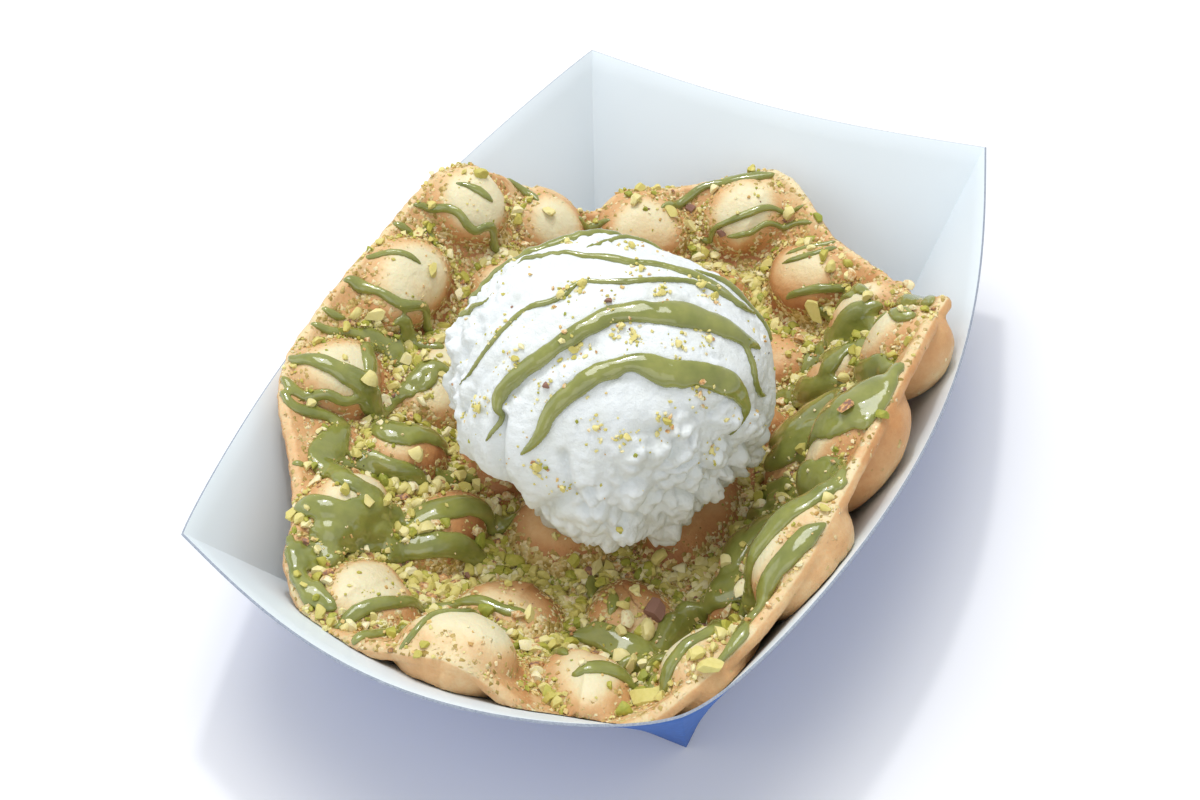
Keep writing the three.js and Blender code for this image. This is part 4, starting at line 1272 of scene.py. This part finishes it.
# Where nuts stuck to the scoop in clumps: azimuth, elevation, length of the largest bit, and tint.
SCOOP_CLUMPS = (
    (30, 52, 2.8, 0.30), (34, 57, 2.6, 0.40), (-53, 70, 2.4, 0.60), (-46, 65, 2.6, 0.50),
    (-4, 50, 2.4, 0.70), (-25, 38, 3.0, 0.92), (-42, 35, 3.0, 0.30), (-59, 31, 2.4, 0.55),
    (-71, 35, 2.0, 0.60), (-120, 26, 2.8, 0.44), (-96, 45, 2.2, 1.15), (-91, 60, 3.0, 0.36),
    (-118, 47, 2.2, 0.30), (-135, 72, 2.6, 0.60), (-70, 80, 2.0, 1.15), (-91, 18, 2.8, 0.44),
    (-82, 12, 2.0, 0.55), (-24, 13, 2.0, 0.60), (10, 72, 2.6, 0.50), (-145, 80, 2.8, 0.40),
    (-21, 56, 2.4, 0.62), (60, 77, 2.4, 0.50), (-138, 48, 2.0, 0.50), (100, 62, 2.6, 0.40),
    (142, 52, 2.4, 0.60), (170, 44, 2.4, 0.50), (124, 32, 2.6, 0.44), (84, 30, 2.4, 0.60),
    (155, 30, 2.0, 0.95), (58, 24, 2.2, 0.50),
)
CLUMP_BITS = 16
CLUMP_SPREAD = 2.6          # in degrees about the scoop's middle
CREST_REACH = 6.0
KEPT_ON_CREST = 0.06        # share of the bits that stay on a crest, and on the sauce
KEPT_ON_SAUCE = 0.25
SHELTERED = 0.35            # share of the bits that rolled in under the scoop's overhang
SHOWER_STRENGTH = 0.4
PATCH_SIZE = 5.0            # bits lie in patches of about this size
LEVEL_ENOUGH = 0.86         # a bit rests where the upward part of the normal is more than this
SLIDE_STEP = 1.6
LOWEST_REST = 6.0           # what falls lower fell beside the waffle
TRIES_PER_BIT = 40
TOUCHING = 0.02             # what is nearer than this lies on the sauce
SCOOP_PLAN = (44.0, 42.0)   # half width and half length of the scoop from above, and the height of its foot
SCOOP_FOOT = 36.0


def shower(x, y, even):
    """How thickly bits fell at a place, from 0 to about 1, over a share that fell evenly all over."""
    thick = even
    for at_x, at_y, reach, more in NUT_SHOWERS:
        thick += SHOWER_STRENGTH * more * math.exp(-((x - at_x) ** 2 + (y - at_y) ** 2) / reach ** 2)
    patch = 0.5 + 0.5 * noise.noise(Vector((x / PATCH_SIZE, y / PATCH_SIZE, 3.7)))
    return min(1.0, thick * max(0.0, 2.4 * patch - 0.35))


def settle(tree, x, y, slides):
    """Where a bit that falls at (x, y) comes to rest, and the normal there. It slides off what is steep."""
    spot, normal = drop(tree, x, y)
    for _ in range(slides):
        if spot is None or normal.z > LEVEL_ENOUGH:
            break
        x, y = x + normal.x * SLIDE_STEP, y + normal.y * SLIDE_STEP
        spot, normal = drop(tree, x, y)
    return spot, normal


def on_crest(tree, spot):
    """Whether a place stands higher than what lies round it."""
    around = [
        drop(tree, spot.x + CREST_REACH * dx, spot.y + CREST_REACH * dy)[0]
        for dx, dy in ((1, 0), (-1, 0), (0, 1), (0, -1))
    ]
    return sum(other.z - spot.z for other in around if other is not None) < 0


def rain(falls, count, sizes, seed, slides, kept_on_scoop, even=0.14):
    """Drops bits one by one. Each row is where one rests, the normal there, its length and its tint."""
    everything, ground, scoop, sauces = falls
    rng = random.Random(seed)
    low, high = box_of("waffle")
    rests = []
    for _ in range(count * TRIES_PER_BIT):
        if len(rests) == count:
            break
        x, y = rng.uniform(low[0], high[0]), rng.uniform(low[1], high[1])
        length = sizes[0] + (sizes[1] - sizes[0]) * rng.random() ** 2
        if rng.random() > shower(x, y, even):
            continue
        spot, normal = settle(ground if rng.random() < SHELTERED else everything, x, y, slides)
        if spot is None or spot.z < LOWEST_REST:
            continue
        across, along = ((spot[k] - SCOOP_CENTRE[k]) / SCOOP_PLAN[k] for k in range(2))
        on_scoop = across ** 2 + along ** 2 < 1 and spot.z > SCOOP_FOOT
        if rng.random() > KEPT_ON_SAUCE and sauces.find_nearest(spot)[3] < TOUCHING:
            continue
        if not on_scoop and rng.random() > KEPT_ON_CREST and on_crest(ground, spot):
            continue
        near, facing, _, _ = scoop.find_nearest(spot)
        buried = not on_scoop and (spot - near).dot(facing) < 0.6 * length
        if buried or on_scoop and rng.random() > kept_on_scoop:
            continue
        rests.append((spot, normal, length, rng.random()))
    return rests


def clumps_on_scoop(tree):
    """The bits stuck to the scoop: the large one of each clump, and the fine ones scattered round them."""
    rng = random.Random(27)
    large, fine = [], []
    for azimuth, elevation, length, tint in SCOOP_CLUMPS:
        for number in range(CLUMP_BITS):
            away = CLUMP_SPREAD * min(number, 1)
            climb = elevation + rng.gauss(0, away)
            turn = azimuth + rng.gauss(0, away) / max(0.2, math.cos(math.radians(climb)))
            ray = Vector(heading(turn, climb))
            spot, normal = tree.ray_cast(Vector(SCOOP_CENTRE) + 90 * ray, -ray)[:2]
            if number == 0:
                large.append((spot, normal, length, tint))
            else:
                size = length * rng.uniform(0.2, 0.55)
                fine.append((spot, normal, size, min(0.94, abs(rng.gauss(0.6, 0.25)))))
    return large, fine


def lay_bits(name, slot, material, shapes, rests, seed, sink=0.2):
    """One piece of many bits, each turned its own way on what it rests on, with its tint."""
    rng = random.Random(seed)
    points, faces, tints = [], [], []
    for spot, normal, length, tint in rests:
        shape, sides = rng.choice(shapes)
        turn = Matrix.Rotation(rng.uniform(0, math.tau), 3, "Z") @ Matrix.Rotation(rng.gauss(0, 0.5), 3, "X")
        stand = normal.to_track_quat("Z", "Y").to_matrix() @ turn
        faces.extend(tuple(len(points) + corner for corner in side) for side in sides)
        middle = np.array(spot + normal * length / 2 * (0.5 - sink))
        points.extend(shape * length / 2 @ np.array(stand).T + middle)
        tints.extend([tint] * len(shape))
    bits = mesh_piece(name, points, faces)
    set_attribute(bits, "tint", tints)
    finish_piece(bits, slot, [material])
    activate(bits)
    bpy.ops.object.shade_smooth_by_angle(angle=math.radians(35))


def make_nuts():
    """Lays the large pieces at listed places, then lets the finer ones rain down."""
    sheet, ball, sauce_on_ball, sauce_on_sheet = (bpy.data.objects[name] for name in (
        "bubble_waffle_sheet", "scoop_of_cream", "sauce_on_scoop", "sauce_on_waffle"))
    everything, ground = tree_of(sheet, ball, sauce_on_ball, sauce_on_sheet), tree_of(sheet, sauce_on_sheet)
    falls = (everything, ground, tree_of(ball), tree_of(sauce_on_ball, sauce_on_sheet))
    kernel = chopped_nut("chopped_pistachio", NUT_STOPS, 0.55)
    crumb = chopped_nut("crust_crumb", CRUMB_STOPS, 0.75)
    speck = chopped_nut("nut_skin_speck", SPECK_STOPS, 0.6)
    large, middling = broken_kernels(8, 1, 3, 5), broken_kernels(8, 2, 2, 3)
    fine, finest = broken_kernels(8, 3, 1, 0), broken_kernels(6, 4, 0, 0)
    nuts = bpy.context.scene.waffle_nuts
    placed = [(*drop(ground, x, y), length, tint) for x, y, length, tint in NUT_PLACES]
    stuck, scattered = clumps_on_scoop(tree_of(ball, sauce_on_ball))
    bits = stuck + rain(falls, nuts.bits, (2.0, 5.0), 22, slides=9, kept_on_scoop=0.0)
    grit = scattered + rain(falls, nuts.grit, (0.9, 2.2), 23, slides=6, kept_on_scoop=0.01)
    dust = rain(falls, nuts.dust, (0.4, 1.1), 24, slides=3, kept_on_scoop=0.05)
    crumbs = rain(falls, nuts.crumbs, (0.5, 1.6), 25, slides=2, kept_on_scoop=0.02, even=0.4)
    specks = rain(falls, nuts.specks, (0.4, 0.9), 26, slides=0, kept_on_scoop=1.0)
    lay_bits("nut_pieces", "nuts", kernel, large, placed, 37)
    lay_bits("nut_bits", "nuts", kernel, middling, bits, 32)
    lay_bits("nut_grit", "nuts", kernel, fine, grit, 33)
    lay_bits("nut_dust", "nuts", kernel, finest, dust, 34, sink=0.3)
    lay_bits("crust_crumbs", "waffle_crust", crumb, finest, crumbs, 35, sink=0.3)
    lay_bits("nut_skin_specks", "nuts", speck, fine, specks, 36)


# --- settings ---

COLOUR = {"subtype": "COLOR", "size": 4, "min": 0, "max": 1}


class TraySettings(bpy.types.PropertyGroup):
    board: FloatProperty(
        name="Board", description="Thickness of the paper board", default=0.0006, min=0.0002, unit="LENGTH")
    inside_colour: FloatVectorProperty(
        name="Inside", description="Colour of the coated inside", default=linear("#e3eef6"), **COLOUR)
    outside_colour: FloatVectorProperty(
        name="Outside", description="Colour printed on the outside", default=linear("#1f5cae"), **COLOUR)


class CrustSettings(bpy.types.PropertyGroup):
    relief: FloatProperty(
        name="Relief", description="Height of the crust's unevenness", default=0.0005, min=0, unit="LENGTH")
    crown_colour: FloatVectorProperty(
        name="Crown", description="Palest crust, on top of the bubbles", default=linear("#e3dab6"), **COLOUR)
    shoulder_colour: FloatVectorProperty(
        name="Shoulder", description="Crust round a bubble's crown", default=linear("#e3cda0"), **COLOUR)
    flank_colour: FloatVectorProperty(
        name="Flank", description="Crust on a bubble's side", default=linear("#d8ad7b"), **COLOUR)
    web_colour: FloatVectorProperty(
        name="Web", description="Browned crust between bubbles", default=linear("#c8925f"), **COLOUR)
    # the darkest stop is where the painted shade in the bottom of the cup ends up
    deep_colour: FloatVectorProperty(
        name="Deep", description="Darkest crust, deep in the cup", default=linear("#a76d42"), **COLOUR)


class CreamSettings(bpy.types.PropertyGroup):
    roughness_depth: FloatProperty(
        name="Crumble", description="Height of the scoop's lumps and marks: 1 mm is as scooped",
        default=0.001, min=0, unit="LENGTH")
    colour: FloatVectorProperty(
        name="Cream", description="Colour of the cream", default=linear("#e9eff1"), **COLOUR)
    hollow_colour: FloatVectorProperty(
        name="Hollow", description="Faintly warmer patches", default=linear("#e3e8e6"), **COLOUR)


class SauceSettings(bpy.types.PropertyGroup):
    height: FloatProperty(
        name="Height", description="How high a strand stands", default=0.0017, min=0.0002, unit="LENGTH")
    voxel: FloatProperty(
        name="Fineness", description="Cell of the mesh that melts strands together", default=0.00058,
        min=0.0002, unit="LENGTH")
    colour: FloatVectorProperty(
        name="Sauce", description="Colour of the sauce", default=linear("#94974b"), **COLOUR)
    deep_colour: FloatVectorProperty(
        name="Deep", description="Darker swirls in the sauce", default=linear("#787f3a"), **COLOUR)


class NutSettings(bpy.types.PropertyGroup):
    bits: IntProperty(name="Bits", description="Chopped bits of 2 to 5 mm", default=3000, min=0)
    grit: IntProperty(name="Grit", description="Fine grit of 1 to 2 mm", default=9000, min=0)
    dust: IntProperty(name="Dust", description="Dust of about 1 mm and less", default=15000, min=0)
    crumbs: IntProperty(name="Crumbs", description="Crumbs of crust", default=9000, min=0)
    specks: IntProperty(name="Specks", description="Dark specks of nut skin", default=40, min=0)


class StageSettings(bpy.types.PropertyGroup):
    floor_colour: FloatVectorProperty(
        name="Floor", description="Colour of the floor", default=linear("#f4f5f6"), **COLOUR)
    key_watts: FloatProperty(
        name="Key light", description="Power of the large soft light in watts", default=3.25, min=0)
    sky: FloatProperty(name="Sky", description="Strength of the even light all round", default=0.62, min=0)


SETTINGS = {
    "waffle_tray": TraySettings, "waffle_crust": CrustSettings, "waffle_cream": CreamSettings,
    "waffle_sauce": SauceSettings, "waffle_nuts": NutSettings, "waffle_stage": StageSettings,
}


# --- operators ---

class WAFFLE_OT_tray(bpy.types.Operator):
    """Build the paper tray"""
    bl_idname = "waffle.tray"
    bl_label = "Paper tray"

    def execute(self, context):
        make_tray()
        return {"FINISHED"}


class WAFFLE_OT_sheet(bpy.types.Operator):
    """Build the bubble waffle's draped sheet"""
    bl_idname = "waffle.sheet"
    bl_label = "Waffle sheet"

    def execute(self, context):
        make_waffle()
        return {"FINISHED"}


class WAFFLE_OT_scoop(bpy.types.Operator):
    """Build the scoop of cream that rests in the cup"""
    bl_idname = "waffle.scoop"
    bl_label = "Scoop of cream"

    def execute(self, context):
        make_scoop()
        return {"FINISHED"}


class WAFFLE_OT_sauce(bpy.types.Operator):
    """Pour the green nut sauce over the waffle and the scoop"""
    bl_idname = "waffle.sauce"
    bl_label = "Nut sauce"

    def execute(self, context):
        make_sauce()
        return {"FINISHED"}


class WAFFLE_OT_nuts(bpy.types.Operator):
    """Sprinkle chopped nuts, crumbs and specks over everything"""
    bl_idname = "waffle.nuts"
    bl_label = "Chopped nuts and crumbs"

    def execute(self, context):
        make_nuts()
        return {"FINISHED"}


# --- stage ---

CAMERA_TARGET = Vector((-6.57, -6.53, 27.0))
CAMERA_AZIMUTH = 27.4       # in degrees, as are the elevation and the roll
CAMERA_ELEVATION = 46.2
CAMERA_ROLL = -2.3
CAMERA_DISTANCE = 406.9
CAMERA_LENS = 45.28


def aim_camera():
    """Sets the camera down at the serving angle."""
    turn, climb, roll = (math.radians(angle) for angle in (CAMERA_AZIMUTH, CAMERA_ELEVATION, CAMERA_ROLL))
    back = Vector((math.sin(turn) * math.cos(climb), -math.cos(turn) * math.cos(climb), math.sin(climb)))
    right = (-back).cross(Vector((0, 0, 1))).normalized()
    up = right.cross(-back)
    level = Matrix((
        right * math.cos(roll) + up * math.sin(roll),
        up * math.cos(roll) - right * math.sin(roll),
        back,
    ))
    bpy.ops.object.camera_add()
    camera = bpy.context.object
    camera.matrix_world = level.transposed().to_4x4()
    camera.location = (CAMERA_TARGET + back * CAMERA_DISTANCE) * MM
    camera.data.sensor_width = 36
    camera.data.lens = CAMERA_LENS
    camera.data.clip_start = 0.01
    camera.data.dof.use_dof = False
    bpy.context.scene.camera = camera


def soft_light(name, place, size, watts, colour=(1, 1, 1)):
    """A square soft light at a place in metres, turned to the waffle."""
    bpy.ops.object.light_add(type="AREA", location=place)
    light = bpy.context.object
    light.name = name
    light.data.size = size
    light.data.energy = watts
    light.data.color = colour
    light.rotation_euler = (Vector((0, -0.01, 0.03)) - Vector(place)).to_track_quat("-Z", "Y").to_euler()


class WAFFLE_OT_stage(bpy.types.Operator):
    """Set out the floor, the lights and the camera"""
    bl_idname = "waffle.stage"
    bl_label = "Stage"

    def execute(self, context):
        deselect()
        stage = context.scene.waffle_stage
        bpy.ops.mesh.primitive_plane_add(size=8, location=(0, 0, -0.0002))
        floor = context.object
        floor.name = "floor"
        floor.data.materials.append(studio_floor())
        soft_light("key_light", (-0.12, 0.14, 0.82), 0.50, stage.key_watts)
        soft_light("glint_light", (-0.16, 0.22, 0.78), 0.05, stage.key_watts * 0.4)
        soft_light("fill_light", (0.35, -0.65, 0.45), 0.6, stage.key_watts * 0.3, (1, 0.985, 0.96))
        soft_light("left_light", (-0.6, -0.4, 0.35), 0.6, stage.key_watts * 0.3)
        world = bpy.data.worlds.new("even_sky")
        world.use_nodes = True
        backdrop = world.node_tree.nodes["Background"]
        backdrop.inputs["Color"].default_value = (1, 1, 1, 1)
        backdrop.inputs["Strength"].default_value = stage.sky
        context.scene.world = world
        context.scene.view_settings.view_transform = "Standard"
        aim_camera()
        return {"FINISHED"}


OPERATORS = (
    WAFFLE_OT_tray, WAFFLE_OT_sheet, WAFFLE_OT_scoop, WAFFLE_OT_sauce, WAFFLE_OT_nuts, WAFFLE_OT_stage,
)


class WAFFLE_PT_panel(bpy.types.Panel):
    """Sizes, colours and steps of the bubble waffle"""
    bl_label = "Bubble waffle"
    bl_idname = "WAFFLE_PT_panel"
    bl_space_type = "VIEW_3D"
    bl_region_type = "UI"
    bl_category = "Waffle"

    def draw(self, context):
        for name, group in SETTINGS.items():
            box = self.layout.box()
            for prop in group.__annotations__:
                box.prop(getattr(context.scene, name), prop)
        for operator in OPERATORS:
            self.layout.operator(operator.bl_idname)


def register():
    """Registers the settings, the operators and the panel."""
    for part in (*SETTINGS.values(), *OPERATORS, WAFFLE_PT_panel):
        bpy.utils.register_class(part)
    for name, group in SETTINGS.items():
        setattr(bpy.types.Scene, name, PointerProperty(type=group))


def unregister():
    """Takes them away again."""
    for name in SETTINGS:
        delattr(bpy.types.Scene, name)
    for part in reversed((*SETTINGS.values(), *OPERATORS, WAFFLE_PT_panel)):
        bpy.utils.unregister_class(part)


def main():
    """Builds the object and its stage."""
    register()
    bpy.ops.waffle.tray()
    bpy.ops.waffle.sheet()
    bpy.ops.waffle.scoop()
    bpy.ops.waffle.sauce()
    bpy.ops.waffle.nuts()
    bpy.ops.waffle.stage()


if __name__ == "__main__":
    main()
